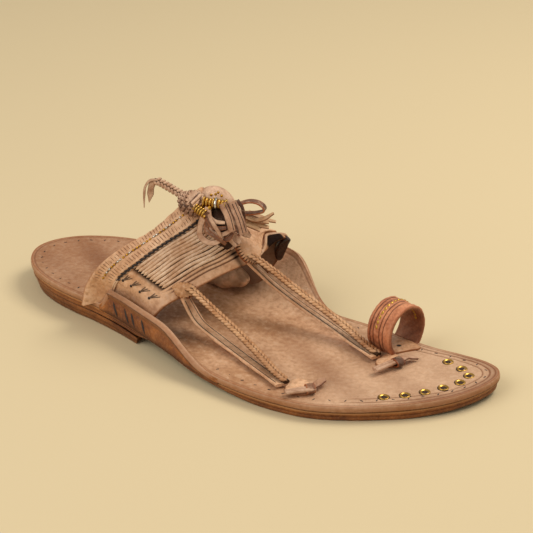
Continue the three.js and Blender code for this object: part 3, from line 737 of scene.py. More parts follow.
# the black thread also paints shade: the dark lines beside the braids and the rings round the eyelets
blackThreadAndShade = plainFinish("waxed_black_thread_and_shade", "#2b1a12", 0.6, relief=0.4)  # twisted, dull with wax
greyThread = plainFinish("faded_linen_thread", "#a8998a", 0.8, relief=0.5)  # dry and furry
brownThread = plainFinish("brown_linen_thread", "#6e5644", 0.8, relief=0.5)
goldThread = plainFinish("gilt_thread", "#d8a94c", 0.35, 0.85, 0.3)         # metal foil wound on a core
goldBead = plainFinish("brass_bead", "#d9a640", 0.22, 1.0)                  # tumbled bright
silverBead = plainFinish("tin_bead", "#e2dfd6", 0.25, 1.0)
brassWire = plainFinish("drawn_brass_wire", "#dcb05a", 0.32, 1.0, 0.2)      # drawn smooth, slightly tarnished
burntTooling = plainFinish("burnt_tooling", "#a06c46", 0.6)                 # pressed in with a hot iron
pressedLine = plainFinish("pressed_line", "#7a4e30", 0.6)                   # leather darkened by the tool

makePiece("band_leather", bandShape(), upperLeather, ["instep_band"])
makePiece("band_ribs", joined([ribShape(i) for i in range(band["ribs"])]), ribLeather)

ticks = []
for row in (0.085, 0.272):
    u = alongBand(row, 0.13, 0.87, band["tickApart"])
    ticks.append(stitchesOnBand(grainOfRice(3.6, 0.42, 0.2), u, row, (0, 1), band["strip"] + 0.02))
makePiece("strip_ticks", joined(ticks), burntTooling)

beadV = band["beadLine"]
u = alongBand(beadV, 0.14, 0.87, band["beadApart"])
u = u + 0.0012 * np.sin(np.arange(len(u)) * 2.3)
bead = grainOfRice(1.5, 1.2, 1.1, 8)
gilt = np.sin(np.arange(len(u)) * 1.7) > -0.2
for name, chosen, finish in (("gold_beads", gilt, goldBead), ("silver_beads", ~gilt, silverBead)):
    row = stitchesOnBand(bead, u[chosen], beadV, (1, 0), band["strip"] + 0.25)
    makePiece(name, row, finish)
makePiece("bead_groove", lineOnBand(beadV, 0.13, 0.875, 200, band["strip"], 0.8, 0.25), pressedLine)

u = alongBand(0.36, 0.165, 0.85, band["stitchApart"])
odd = np.where(np.arange(len(u)) % 2, 1.0, -1.0)
whip = stitchesOnBand(grainOfRice(3.9, 1.15, 0.9), u, 0.366, (0.3 + 0.06 * odd, 1), 0.6)
makePiece("seam_whipping", joined([whip, lineOnBand(0.37, 0.165, 0.85, 160, 0.25, 0.7, 0.5)]), blackThreadAndShade)
seamThread = stitchesOnBand(grainOfRice(2.4, 0.5, 0.5), u + 0.006, 0.384, (0.5, 1), 0.35)
makePiece("seam_thread", seamThread, greyThread)
seamEnds = ((0.352, 0.0, 0.17), (0.378, 0.0, 0.165), (0.352, 0.845, 1.0), (0.378, 0.85, 1.0))
makePiece("seam_edges", joined([lineOnBand(*row, 60, 0.5, 1.0, 0.9) for row in seamEnds]), ribLeather)

fanStrokes, fanHoles = [], []
for mirrored in (False, True):
    for fanAt in band["fansAt"]:
        for turn in (-0.03, 0.0, 0.032):
            a = np.linspace(0, 1, 8)
            fanU = 0.178 + 0.03 * a
            path, out = bandAt(1 - fanU if mirrored else fanU, fanAt + (0.03 + turn) * a, 0.15)
            fanStrokes.append(copies(grainOfRice(1.0, 0.5, 0.4), path[1:], path[1:] - path[:-1], out[1:]))
        fanHoles.append((1 - 0.176 if mirrored else 0.176, fanAt))
makePiece("fan_stitches", joined(fanStrokes), brownThread)
holeU, holeV = np.array(fanHoles).T
makePiece("fan_holes", stitchesOnBand(grainOfRice(1.7, 1.5, 0.6, 8), holeU, holeV, (1, 0), 0.1), blackThreadAndShade)
print("band is built")


# Braided straps over their flat backing straps

straps = {"braidWidth": 5.7, "braidHeight": 2.9, "leafApart": 2.35, "strapWall": 1.6, "lean": (0.3, 0, 1.0)}
routes = {
    "lateral": {"braid": [(121.5, -26.5, 32.6), (126, -27.4, 31), (137, -29, 25), (154, -34, 18.6),
                          (172, -42.8, 14), (183, -49.5, 12), (192, -54, 11)],
                "strap": [(119.5, -28.5, 29), (124, -29, 22.5), (130, -31.2, 17.6), (143, -34.6, 13.4),
                          (157, -39.6, 10.9), (174, -47.6, 9.9), (190, -56, 9.9)],
                "width": 6.6},
    "medial": {"braid": [(138, 5, 43), (143, 5.4, 41), (153, 6.8, 35), (163, 6.6, 29.6), (175, 5.6, 24.4),
                         (186, 4, 20.2), (200, 0.6, 15.4), (211, -4, 12.2), (220, -7.6, 10.8)],
               "strap": [(139, 5, 39), (144, 5.6, 35), (152, 6.6, 28.6), (168, 6, 20.6), (179, 4.8, 16.6),
                         (192, 2.4, 12.6), (204, -2.2, 10.4), (219, -9.5, 9.9)],
               "width": 5.2}}
# thongs split from the hide and plaited damp, so the grain is tight
strapLeather = leather("braided_thong_leather", paleHide, pale="#dcae82", dark="#b17a4c", speckShare=0.35)


def herringbone(path, up, width, height, apart):
    # a flat braid: leaves on either side slant to the middle, over a core that fills between them
    ahead, side, top = pathFrame(path, up)
    run = runLength(path)
    leaf = grainOfRice(width * 0.78, apart * 0.86, height * 0.66, 10)
    # the leaves are painted dark underneath and the core between them nearly black: painted shade between and
    # under the leaves
    low = smoothStep(-leaf["points"][:, 2], -height * 0.22, height * 0.12)
    leaf["marks"] = {"deep": 0.85 * low, "raw": 0.4 * low}
    shapes = [carry(path, oval(width * 0.6, height * 0.7, 14, 3), top, deep=0.92, raw=0.2)]
    for sign in (-1, 1):
        at = np.arange(apart * (0.6 + 0.25 * sign), run[-1] - apart * 0.5, apart)
        place, forward, aside, above = [np.stack([np.interp(at, run, q[:, k]) for k in range(3)], 1)
                                        for q in (path, ahead, side, top)]
        middle = place + sign * aside * width * 0.235 + above * height * 0.2
        heading = forward * 0.8 - sign * aside * 0.62 + above * 0.12
        shapes.append(copies(leaf, middle, heading, above + sign * 0.25 * aside))
    return joined(shapes)


for name, route in routes.items():
    path = evenly(route["braid"], 190)
    braid = herringbone(path, straps["lean"], straps["braidWidth"], straps["braidHeight"], straps["leafApart"])
    makePiece(name + "_plait", braid, strapLeather, [name + "_braid"])
    line = evenly(route["strap"], 120)
    flat = oval(route["width"], straps["strapWall"], 20, 5)
    backing = carry(line, flat, straps["lean"], 1 + 0.05 * np.sin(np.linspace(0, 20, 120)))
    makePiece(name + "_backing", backing, upperLeather, [name + "_strap"])
    _, side, up = [q[3:-3] for q in pathFrame(line, straps["lean"])]
    # dark lines on the backing along the braid's edges: painted shade in the gap between braid and backing
    grooves = [carry(line[3:-3] + side * share * route["width"] + up * 0.82, oval(0.45, 0.3, 6), straps["lean"])
               for share in (-0.32, 0.3)]
    makePiece(name + "_braid_gap_shade_lines", joined(grooves), blackThreadAndShade)
print("braids are plaited")


# Toe ring

ring = {"x": 221.2, "y": 10.4, "z": 18.6, "radius": 13.6, "wall": 2.4, "width": 15.6, "turn": -17,
        "foot": 50, "drop": 1.1, "linesAt": (-5.6, -3.6, 0.2, 2.4), "stitchesAt": -1.7}
# dyed red-brown and waxed
ringLeather = leather("red_brown_ring_leather", tanHide, pale="#ea9f72", dark="#c2734a", worn="#5a2a16",
                      fade="#dba27c", raw="#8a4a26", stain="#7a3c20", cloud=12, speck=1.4, speckShare=0.35)


def ringAt(across, a, radius):
    # a band bent round the toe: across runs from heel side to toe side in mm, a from the outer to the inner
    # foot, and below its middle the circle is drawn out to reach the insole
    foot = math.radians(ring["foot"])
    angle = np.pi + foot - a * (np.pi + 2 * foot)
    flare = 1 + 0.04 * (2 * across / ring["width"]) ** 2
    rise = np.sin(angle) * np.where(np.sin(angle) < 0, ring["drop"], 1)
    x, y, z = across + 0 * angle, np.cos(angle) * radius * flare, rise * radius * flare
    turn = math.radians(ring["turn"])
    turned = [x * math.cos(turn) - y * math.sin(turn), x * math.sin(turn) + y * math.cos(turn), z]
    return np.stack(turned, -1) + [ring["x"], ring["y"], ring["z"]]


def ringShape():
    a = np.linspace(0, 1, 150)[:, None]
    across = ring["width"] * (np.sin(np.linspace(-1, 1, 90) * np.pi / 2) / 2)[None]
    a, across = np.broadcast_arrays(a, across)
    edge = ring["width"] / 2 - np.abs(across)
    half = ring["wall"] / 2 * roundedEdge(edge, 1.2)
    line = sum(hill(across, at, 0.24) for at in ring["linesAt"])
    pillow = 0.35 * hill(across, ring["stitchesAt"], 1.6)
    pillow = pillow + 0.06 * np.sin(a * 120 + across) + 0.1 * np.sin(a * 37 + across * 2)
    middle = ring["radius"] - ring["wall"] / 2
    outer = ringAt(across, a, middle + half + pillow - 0.35 * line)
    inner = ringAt(across, a, middle - half)
    # the inner face is painted darker, with a wavy darkening: painted shade inside the ring
    return shell(outer, inner, worn=(np.clip(0.8 * line, 0, 1), 0.5 + 0 * line),
                 raw=(0.5 * (1 - smoothStep(edge, 0, 1)), 0 * line),
                 deep=(0.5 * line, 0.24 + 0.08 * np.sin(a * 60 + across)))


makePiece("ring_band", ringShape(), ringLeather, ["toe_ring"])
a = np.linspace(0.24, 0.78, 15)
dashes = []
insideRadius = ring["radius"] - ring["wall"] - 0.05
for radius, at, size in ((ring["radius"] + 0.4, ring["stitchesAt"], 2.3), (insideRadius, 3.4, 2.0)):
    place = ringAt(at + 0 * a, a, radius)
    ahead = ringAt(at + 0 * a, a + 0.01, radius) - place
    out = place - ringAt(at + 0 * a, a, radius - 1)
    slant = 0.25 * unit(np.cross(out, ahead)) * np.linalg.norm(ahead[0])
    dashes.append(copies(grainOfRice(size, 1.35, 0.9), place, ahead + slant, out))
makePiece("ring_gilt_stitches", joined(dashes), goldThread)
print("toe ring is built")


# Facing under the outer ear, with its cut slashes

facing = {"rear": 69.6, "front": 158, "wall": 1.2, "bulge": 0.6, "slashes": (79.5, 88, 93, 101), "lean": 3.6}


def facingAt(x, t):
    # t runs from the foot of the wall to just under the lip
    outerY, _, height = sectionAt(x)
    rim = outerY + earWall * ridge(x, outerEar)
    foot = height - 3.9
    z = foot + (insoleHeight(x, rim) - 0.8 - foot) * t
    y = outerY - 0.35 + (rim - outerY - 0.1) * t - facing["bulge"] * np.sin(np.pi * t) * ridge(x, outerEar)
    return np.stack(np.broadcast_arrays(x, y, z), -1)


def facingShape():
    x = np.linspace(facing["rear"], facing["front"], 150)[:, None]
    t = np.linspace(0, 1, 30)[None]
    outer = facingAt(x, t)
    outer[..., 1] -= 0.15 * np.sin(x * 0.8 + 2 * t) * np.sin(t * 9)
    rim = np.broadcast_to(smoothStep(t, 0.75, 1), outer.shape[:2])
    # darker towards its foot and dark inside: painted shade
    low = np.broadcast_to(1 - smoothStep(t, 0, 0.35), outer.shape[:2])
    return shell(outer, outer + [0, facing["wall"], 0], raw=(0.3 * rim, 0 * rim), worn=(0.6 * low, 0 * low),
                 deep=(0.5 * low ** 3, 0.5 + 0 * low))


makePiece("ear_facing", facingShape(), soleLeather)
slashes = []
for x in facing["slashes"]:
    s = np.linspace(0, 1, 12)
    line = facingAt(x + facing["lean"] * s, 0.64 - 0.5 * s) - [0, 0.15, 0]
    slashes.append(carry(line, oval(1.3, 0.6, 8), (0, -1, 0.3), np.sin(np.pi * np.linspace(0.08, 0.92, 12))))
makePiece("ear_slashes", joined(slashes), blackThreadAndShade)


# Peg marks and eyelets of the insole

marks = {"inside": 6.1, "apart": 8.2, "length": 1.9, "width": 0.7}
eyelet = {"rim": [(2.7, -0.4), (2.7, 0.2), (2.55, 0.45), (2.3, 0.52), (2.0, 0.4), (1.65, 0.2), (1.5, 0.1),
                  (1.45, -0.4)],
          "hole": [(1.55, -0.3), (1.55, 0.12)], "shade_ring": [(3.05, -0.3), (3.05, 0.05), (2.6, 0.08)]}
holeShadeFinish = plainFinish("painted_hole_shade", "#3e2410", 0.8)   # dark inside the hole: painted shade

edge, spine = perimeter(600, True)
run = runLength(edge)
chosen = np.searchsorted(run, np.arange(4, run[-1], marks["apart"]))
x, y = edge[chosen].T
chosen = chosen[(x < 66) | ((y < 0) & (x > 150)) | (x > 176)]
inward = unit(spine - edge)[chosen]
spot = edge[chosen] + inward * marks["inside"]
heading = 1.3 * np.sin(np.arange(len(chosen)) * 2.9)[:, None] * inward + inward[:, ::-1] * [-1, 1]
heading = np.concatenate([heading, 0 * heading[:, :1]], 1)
peg = grainOfRice(marks["length"], marks["width"], 0.3)
makePiece("peg_marks", copies(peg, onInsole(spot[:, 0], spot[:, 1], 0.02), heading, (0, 0, 1)), blackThreadAndShade)

eyeletNodes = ["eyelet_%d" % i for i in range(1, 9)]
middles = np.array([np.mean(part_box(node), axis=0) for node in eyeletNodes]) * 1000 - shoeOrigin
middles[:, 2] = insoleHeight(middles[:, 0], middles[:, 1])
upright = insoleNormal(middles[:, 0], middles[:, 1])
rims = copies(spun(eyelet["rim"]), middles, (1, 0, 0), upright)
makePiece("eyelet_rims", rims, brassWire, eyeletNodes)
# a dark disc in each hole and a dark ring round each rim: painted shade
for part, finish in (("hole", holeShadeFinish), ("shade_ring", blackThreadAndShade)):
    row = copies(spun(eyelet[part], 24), middles, (1, 0, 0), upright)
    makePiece("eyelet_%ss" % part, row, finish)
print("insole is marked")


# Strap ends and their rolled toggles

thongHide = dict(paleHide, pale="#e2bda0", dark="#b08466", worn="#7a4a30", raw="#6b3a1e", cloud=9,
                 stainShare=0.25)
thongLeather = leather("cut_thong_leather", thongHide)        # flesh side out, dry and slightly pink
# this dark oiled thong is also laid as painted shade: under the tabs, under the rosette's pleats and in the gap
# between the flat strips
darkThongAndShade = leather("dark_oiled_thong_and_shade", thongHide, pale="#6a4630", dark="#3a2216", raw="#9a4a18",
                    stain="#2c180e")                          # soaked dark with oil
oiledThong = leather("brown_oiled_thong", thongHide, pale="#8a5c40", dark="#4e2e1e", raw="#b4622c",
                     stain="#3a2012")                         # the same, with less oil
anchors = {
    "lateral": {"pad": [(191, -52), (192.5, -45), (197.6, -44), (203.3, -49), (205, -55), (200, -59),
                        (194, -59)],
                "tube": [(195.5, -62.5, 10.6), (202.9, -56.6, 11.2), (207, -53, 11)],
                "wrap": (204.5, -53.5, 10.6), "wrapLeather": oiledThong,
                "leaf": [(205, -51, 10.4), (206, -46, 10.9), (205.5, -39.5, 9.4)]},
    "medial": {"pad": [(219.5, -9), (221, -3.5), (224.5, 0.5), (229, -2), (232, -9), (227, -13.5),
                       (221.5, -13.5)],
               "tube": [(224.6, -22.6, 10.8), (230.1, -11.9, 11.4), (232, -8, 11)],
               "wrap": (231.4, -10, 10.8), "wrapLeather": darkThongAndShade,
               "leaf": [(231.5, -8.5, 11), (234, -3.5, 11.3), (238.4, -0.3, 9.6)]}}
toePad = [(222, -0.5), (219.5, 7), (220.2, 14.4), (226, 16), (232, 14), (234.5, 11.5), (230, 6.5), (226, 2)]
for name, anchor in anchors.items():
    makePiece(name + "_pad", patch(anchor["pad"], onInsole, 1.1, 0.6), upperLeather)
    line = evenly(anchor["tube"], 40)
    side = unit(np.cross((0, 0, 1.0), line[-1] - line[0]))
    rolls = [carry(line + side * off, oval(2.1, 2.0, 12), (0, 0, 1), raw=0.2, deep=0.0, worn=0.0)
             for off in (-0.95, 0.95)]
    makePiece(name + "_roll", joined(rolls), thongLeather, [name + "_toggle"])
    makePiece(name + "_leaf", ribbon(anchor["leaf"], 4.4, 1.1, (0, 0, 1), ends=(0.8, 0.1)), thongLeather)
    a = np.linspace(0, 2 * np.pi, 48)[:, None]
    turn = anchor["wrap"] + side * np.cos(a) * 2.9 + np.array([0, 0, 1]) * np.sin(a) * 1.8
    wrap = ribbon(turn, 4.6, 0.9, axis=unit(line[-1] - line[0]), steps=60)
    makePiece(name + "_wrap", wrap, anchor["wrapLeather"])
makePiece("toe_pad", patch(toePad, onInsole, 1.0, 0.5), upperLeather)
padHole = copies(grainOfRice(2.6, 1.8, 0.5, 10), onInsole(224.2, 7.8, 1.5), (1, 0.6, 0), (0, 0, 1))
makePiece("toe_pad_hole", padHole, blackThreadAndShade)
print("strap ends are tied")


# Pinked tabs on the band's front edge, and the dark tongue rolled up inside the far one

tabs = {"near": [(0.262, 0.9), (0.272, 0.85), (0.29, 0.845), (0.303, 0.885), (0.308, 0.95), (0.3, 1.02),
                 (0.28, 1.05), (0.256, 1.04), (0.248, 0.98)],
        "far": [(0.534, 0.8), (0.525, 0.87), (0.529, 0.94), (0.55, 1.0), (0.578, 1.035), (0.608, 1.03),
                (0.645, 0.985), (0.69, 0.93), (0.735, 0.91), (0.785, 0.94), (0.83, 0.93), (0.82, 0.85),
                (0.77, 0.78), (0.7, 0.74), (0.63, 0.73), (0.57, 0.75)],
        "tongue": [(146, 36, 41), (143.5, 35.4, 38), (141.5, 35.4, 33.5), (140.6, 36, 29), (140.2, 36.5, 26.6)]}
waxedLeather = plainFinish("waxed_dark_leather", "#3a1c0e", 0.22, relief=0.3, grit=1.5)   # shines with wax


def onBand(u, v, lift=0.0):
    return bandAt(u, v, lift)[0]


def aboveBand(u, v, lift=0.0):
    return onBand(u, v, lift + 0.6)


makePiece("near_tab", patch(tabs["near"], aboveBand, 1.2, 0.9, teeth=20), strapLeather)
farTab = patch(tabs["far"], aboveBand, 1.3, 1.6, teeth=40, toothed=(0.0, 0.4), steps=720)
makePiece("far_tab", farTab, upperLeather)
# dark copies of the tabs laid just beneath them: painted shade that shows in the notches of their teeth
shades = [patch(np.array(tabs[key]) + [0.001, 0.004], onBand, 0.9) for key in ("near", "far")]
makePiece("tab_shade_patches", joined(shades), darkThongAndShade)
u = np.linspace(0.6, 0.87, 80)
path, out = bandAt(u, 0.997 - 0.075 * hill(u, 0.735, 0.055), 0.5)
makePiece("cave_rim", carry(path, oval(1.8, 1.7), out, raw=0.1), ribLeather)
fat = np.sqrt(np.clip(np.sin(np.pi * np.linspace(0.1, 0.97, 40)), 0.02, 1))
tongue = carry(evenly(tabs["tongue"], 40), oval(6.4, 4.2, 20), (0.4, -0.78, 0.2), fat)
makePiece("dark_tongue", tongue, waxedLeather)
print("tabs are pinked")


# Ornament on the crest: rosette with pleats and braided tail

towardsFront = (0.41, -0.78, 0.47)
rosette = {"middle": np.array([112.3, -8.0, 71.0]), "facing": (0.856, -0.15, 0.503), "radii": (7.8, 7.6, 6.9),
           "apart": 2.1, "wall": 0.55, "teeth": 17, "core": [(6.0, -1.0), (6.2, 0), (6.2, 3.6), (5.8, 4.0)],
           "pleats": (0.72, 0.41, 0.52)}
tail = {"plait": [(112, -3, 69), (107, -3.4, 72.2), (102, -5, 74.9), (97, -6, 77.4), (92.6, -7, 79.4),
                  (90.4, -7.4, 79.6)],
        "leaf": [(92, -7.6, 79.6), (90, -8, 78.8), (89, -8.6, 76), (88.6, -9, 72), (87.8, -9.2, 67.4)],
        "thread": [(92.5, -7.6, 80.6), (88.8, -9, 80), (86.4, -10, 76.6), (86.1, -11, 72), (86.2, -11.6, 65)]}


def pinkedDisc(radius, teeth, wall):
    # rings out from the middle over the face, round a toothed rim and back under
    a = np.linspace(0, 2 * np.pi, teeth * 10, endpoint=False)
    notch = (1 - np.abs(np.sin(a * teeth / 2))) ** 2
    r = np.array([0, 0.3, 0.6, 0.8, 0.92, 0.97, 1, 1, 0.97, 0.6, 0])[:, None]
    z = np.array([1, 1, 1, 1, 1, 0.9, 0.4, -0.4, -0.9, -1, -1])[:, None] * wall + 0.35 * (1 - r ** 2)
    reach = radius * r * (1 - 0.25 * notch[None] * r ** 8)
    points = np.stack([reach * np.cos(a), reach * np.sin(a), z + 0.12 * np.sin(5 * a[None]) * r], -1)
    rim = smoothStep(r, 0.9, 1)
    # the notches between the teeth are painted with shade
    return closedRings(points, raw=0.6 * rim, worn=0.3 * rim, deep=0.8 * rim * notch[None])


out = unit(np.array(rosette["facing"]))
discs = []
for i, radius in enumerate(rosette["radii"]):
    disc = pinkedDisc(radius, rosette["teeth"], rosette["wall"])
    place = rosette["middle"] + out * rosette["apart"] * i
    discs.append(copies(disc, place, (1 - 0.1 * i, 0.3 * i, -0.8), out))
makePiece("rosette_discs", joined(discs), thongLeather, ["rosette"])
makePiece("rosette_core", copies(spun(rosette["core"]), rosette["middle"], (1, 0, 0), out), darkThongAndShade)
along = unit(np.array(rosette["pleats"]) - out * np.dot(rosette["pleats"], out))
front = rosette["middle"] + out * (2 * rosette["apart"] + 1.4) - along * 0.6
pleats = []
for i in (-1, 0, 1):
    middle = front + np.cross(out, along) * 1.8 * i
    path = evenly([middle - along * 4.4, middle + out * 0.7, middle + along * 4.4], 24)
    pleats.append(carry(path, oval(1.7, 1.5, 12, 2.6), out, deep=0.0, raw=0.0))
makePiece("rosette_pleats", joined(pleats), thongLeather)
# a dark bar under the pleats: painted shade between them
pleatShadeAt = front + out * 0.1
pleatShadePath = evenly([pleatShadeAt - along * 4.6, pleatShadeAt + along * 4.6], 12)
makePiece("pleat_shade", carry(pleatShadePath, oval(6.6, 0.9, 16, 4), out), darkThongAndShade)

# the lining's fold under the arch, an ellipsoid with shallow creases round it, painted with shade in the
# creases
lining = {"middle": (113, 21.5, 18.4), "reach": (17, 7.6, 6.8)}
s = np.linspace(0.06, np.pi - 0.06, 40)[:, None]
a = np.linspace(0, 2 * np.pi, 90, endpoint=False)[None]
bulge = 1 + 0.05 * np.sin(7 * s + 2 * np.sin(a)) + 0.02 * np.sin(5 * a + 9 * s)
crease = endsTwice(np.clip(0.5 - 8 * (bulge - 1), 0, 0.75)) * 0.6
makePiece("arch_lining", closedRings(pebble(lining, s, a, bulge), deep=crease), upperLeather)

plait = herringbone(evenly(tail["plait"], 110), towardsFront, 4.6, 2.6, 2.0)
makePiece("tail_plait", plait, thongLeather, ["tail_braid"])
makePiece("tail_leaf", ribbon(tail["leaf"], 3.4, 0.9, towardsFront, ends=(0.6, 0.05)), thongLeather,
          ["tail_thong_1"])
makePiece("tail_thread", ribbon(tail["thread"], 1.3, 0.8, towardsFront, ends=(1, 0.3)), thongLeather,
          ["tail_thong_2"])


# Brass of the ornament

brass = {"upper": [(119.6, -8.6, 74.2), (132, -5, 73.6)], "washers": 8, "radii": (1.6, 3.2), "tinAt": 0.56,
         "lower": [(117.0, -11.6, 71.6), (124.0, -12.2, 69.4)], "turns": 5, "wire": 1.25, "coilRadius": 2.0,
         "ballRadius": 1.35, "largeBall": [(124.4, -10.2, 72.2)],
         "smallBalls": [(120.3, -1, 75.2), (124.5, -1, 77.4), (123.3, -1.5, 76.4), (127.4, -2.5, 76.8)]}

# washers threaded in a row: the radius swells once for each
start, end = np.array(brass["upper"])
s = np.linspace(0, 1, 90)
swell = np.abs(np.sin(np.pi * brass["washers"] * s)) ** 0.55 * (0.8 + 0.2 * np.sin(s * 13 + 1))
small, large = brass["radii"]
washers = carry(start + (end - start) * s[:, None], oval(2, 2, 28), (0, 0, 1), small + (large - small) * swell)
makePiece("brass_washers", washers, brassWire, ["brass_coil_1"])
washer = spun([(3.1, -0.5), (3.25, 0), (3.1, 0.5)])
makePiece("tin_washer", copies(washer, start + (end - start) * brass["tinAt"], (0, 0, 1), end - start),
          silverBead)

# a wire wound as a helix
start, end = np.array(brass["lower"])
s = np.linspace(0, 1, 260)[:, None]
axis = unit(end - start)
side = unit(np.cross(axis, (0, 0, 1.0)))
swirl = 2 * np.pi * brass["turns"] * s
around = (side * np.cos(swirl) + np.cross(side, axis) * np.sin(swirl)) * brass["coilRadius"]
spring = carry(start + (end - start) * s + around, oval(brass["wire"], brass["wire"], 10), axis)
makePiece("brass_spring", spring, brassWire, ["brass_coil_2"])
q = np.linspace(0.15, np.pi - 0.15, 12)
ball = np.stack([np.sin(q), -np.cos(q)], 1) * brass["ballRadius"]
balls = [copies(spun(ball, 16), brass["largeBall"], (1, 0, 0), (0, 0, 1)),
         copies(spun(ball * 0.55, 12), brass["smallBalls"], (1, 0, 0), (0, 0, 1))]
makePiece("brass_balls", joined(balls), goldBead)


# Curled and hanging thongs of the ornament: each has its path and its width

curls = {"wall": 0.9, "rows": [
    ([(124, -11, 73), (122.4, -12.8, 68), (121.2, -14, 63), (121.4, -14.8, 58.6), (124.4, -15, 56),
      (129, -14.2, 55.4), (132, -12.4, 57.4), (132, -11, 60)], 3.2),
    ([(124.6, -12, 71), (124.8, -13, 66), (124.6, -13.6, 61), (125.6, -13.8, 58.8)], 2.6),
    ([(125, -11.4, 72), (126, -12.2, 68.6), (128.8, -12, 66.6), (133.4, -10, 66)], 2.3),
    ([(124.6, -12, 69.6), (126.4, -13.2, 65.6), (129.4, -13, 63.4), (134.4, -10.4, 63.4)], 2.3),
    ([(124.4, -11.4, 65), (127, -13.2, 61), (132, -12, 59.8), (136.6, -9, 62)], 2.6),
    ([(127.4, -11.6, 59.6), (131, -11.4, 57), (135, -9.6, 57), (136.6, -7.4, 60)], 2.4),
    ([(126.5, -12.8, 68), (129.4, -13.8, 65), (131.6, -13.4, 61.6), (132.4, -12.2, 57.6)], 2.1),
    ([(124, -13.8, 62.8), (127.4, -15.2, 61), (131.4, -14.4, 58.6), (134.6, -11.8, 55)], 2.0),
    ([(129, -8, 66), (131.6, -8.4, 61), (134.6, -7.4, 56), (137.6, -6, 52)], 2.8)]}
pieces = [ribbon(rows, width, curls["wall"], (0.3, -0.85, 0.35), ends=(0.9, 0.7))
          for rows, width in curls["rows"]]
makePiece("thong_curls", joined(pieces[::2]), thongLeather, ["thong_loops"])
makePiece("oiled_curls", joined(pieces[1::2]), oiledThong)
knot = evenly([(126, -3, 71), (127.5, -7, 67), (129, -8.5, 62), (131, -7, 56), (134, -5, 51)], 60)
swell = np.sqrt(np.sin(np.pi * np.linspace(0.12, 0.9, 60))) * (1 + 0.08 * np.sin(np.linspace(0, 26, 60)))
makePiece("thong_core", carry(knot, oval(10.5, 6.0, 24), towardsFront, swell, deep=0.7), darkThongAndShade)

# the band's crest folded up behind the ornament, narrower below
crest = {"middle": (119.4, 4.6, 66.4), "reach": (11.6, 8.4, 11.0)}
s = np.linspace(0.06, np.pi - 0.06, 26)[:, None]
a = np.linspace(0, 2 * np.pi, 64, endpoint=False)[None]
bulge = (1 + 0.02 * np.sin(3 * a + 4 * s)) * (1 + 0.5 * np.minimum(np.cos(s), 0))
makePiece("crest_dome", closedRings(pebble(crest, s, a, bulge, upright=True)), thongLeather)

flats = {"left": {"rows": [(130.6, -7.4, 75.2), (132.2, -7.8, 73), (134.9, -8.4, 68.4), (137.2, -9, 61.6)],
                  "width": 4.3, "facing": (0.25, -0.85, 0.45), "cuts": (0.9,)},
         "right": {"rows": [(135.0, -5.4, 76.2), (137, -5.8, 73), (140.3, -6.8, 67.6), (143.2, -7.8, 61)],
                   "width": 4.8, "facing": (0.5, -0.75, 0.45), "cuts": (-0.4, 1.3)}}
between = [(132.8, -6.2, 75.0), (134.6, -6.6, 72.6), (137.6, -7.4, 67.6), (140.2, -8.2, 61)]
# cut from the grain side and browned by handling
brownedThong = leather("browned_thong_leather", thongHide, pale="#dcb092", dark="#a37659", raw="#54301c")
strips, cuts = [], []
for flat in flats.values():
    strips.append(ribbon(flat["rows"], flat["width"], 1.2, flat["facing"]))
    line = evenly(flat["rows"], 40)[2:-1]
    up = unit(np.array(flat["facing"]))
    side = pathFrame(line, up)[1]
    cuts += [carry(line + up * 0.62 + side * offset, oval(0.34, 0.3, 6), up) for offset in flat["cuts"]]
makePiece("flat_strips", joined(strips), brownedThong, ["flat_thongs"])
makePiece("flat_cuts", joined(cuts), blackThreadAndShade)
# a dark ribbon in the gap between the two flat strips: painted shade
makePiece("flat_strip_gap_shade", ribbon(between, 2.2, 0.9, towardsFront), darkThongAndShade)

bow = [(131.5, 4, 69.5), (134.6, 6, 71), (138.2, 8, 71.9), (142, 9.8, 71.2), (144.8, 10.8, 69),
       (145.2, 10.8, 67.2), (141.4, 9.4, 65.6), (136, 7.2, 65), (131, 4, 65.4)]
makePiece("front_bow", ribbon(bow, 3.4, 0.9, axis=(-0.1, 0.96, 0.2), steps=90), oiledThong, ["front_loop"])
darkStrip = [(134.6, 1, 74.6), (137.2, 0.6, 72), (139, 0, 67.6), (139.4, -1, 64)]
makePiece("dark_strip", ribbon(darkStrip, 1.8, 1.0, towardsFront), darkThongAndShade)

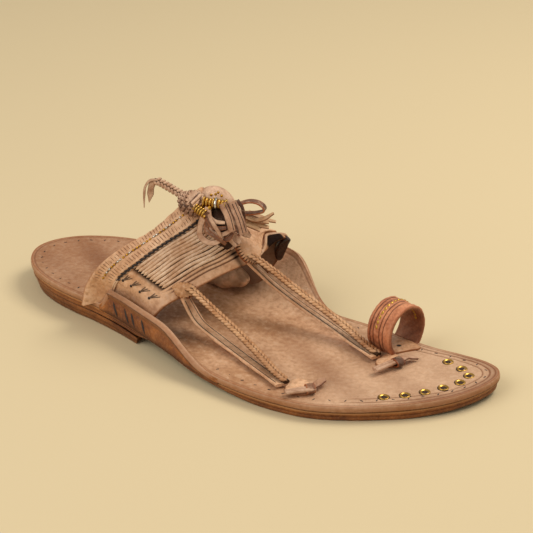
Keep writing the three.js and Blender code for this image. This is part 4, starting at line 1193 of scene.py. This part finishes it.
fringe = [([(132, 3, 65.6), (137, 5.6, 63.6), (141.5, 8, 62), (145.4, 10, 62.8), (149.8, 12, 66)], 2.8),
          ([(131, 2, 64), (136, 4.6, 61.4), (140, 6, 59.4), (144.4, 7.4, 57)], 3.8),
          ([(135, 6, 62.6), (140, 8, 60.2), (143, 9.6, 58.8), (147.4, 11.4, 57.6)], 3.4),
          ([(133, 5, 65.6), (138, 7, 63.2), (142, 9, 61.2), (147, 12, 60)], 3.2),
          ([(130, 1, 61.6), (135, 3, 58.4), (139.6, 4.4, 54.6)], 4.4),
          ([(136, 10, 64.6), (141, 12, 62.4), (146, 14, 60.4), (149.4, 15.4, 59.6)], 2.6)]
frayed = [([(131, -3.6, 61), (134, -4.2, 57.4), (138.6, -3.4, 53)], 4.2),
          ([(128.6, -5, 58.4), (131.4, -5.6, 54.6), (135, -5, 49.4)], 3.0),
          ([(134, 0.6, 59), (137, 2.4, 56.4), (140.6, 4, 54)], 3.6)]
# thin ends bleached by sun and wear
bleachedThong = leather("bleached_thong_leather", thongHide, pale="#e6c096", dark="#c39468", raw="#8a5230")
pieces = [ribbon(rows, width, 1.0, (0.1, -0.45, 0.9), ends=(1, 0.5)) for rows, width in fringe]
makePiece("pale_fringe", joined(pieces), bleachedThong, ["fringe_thongs"])
pieces = [ribbon(rows, width, 1.1, towardsFront, ends=(1, 0.6)) for rows, width in frayed]
makePiece("frayed_ends", joined(pieces), thongLeather)
print("ornament is tied")


# Floor: matt paper, pale and plain

floorPlan = {"half": 3.0, "colour": "#d6c6a2"}
floorMesh = bpy.data.meshes.new("floor")
corner = np.array([[-1, -1, 0], [1, -1, 0], [1, 1, 0], [-1, 1, 0]]) * floorPlan["half"]
floorMesh.from_pydata(corner, [], [(0, 1, 2, 3)])
floor = bpy.data.objects.new("floor", floorMesh)
bpy.context.scene.collection.objects.link(floor)
floorPaper = bpy.data.materials.new("matt_paper_floor")
floorPaper.use_nodes = True
paperInputs = floorPaper.node_tree.nodes["Principled BSDF"].inputs
paperInputs["Base Color"].default_value = linear(floorPlan["colour"])
paperInputs["Roughness"].default_value = 0.9
floorMesh.materials.append(floorPaper)
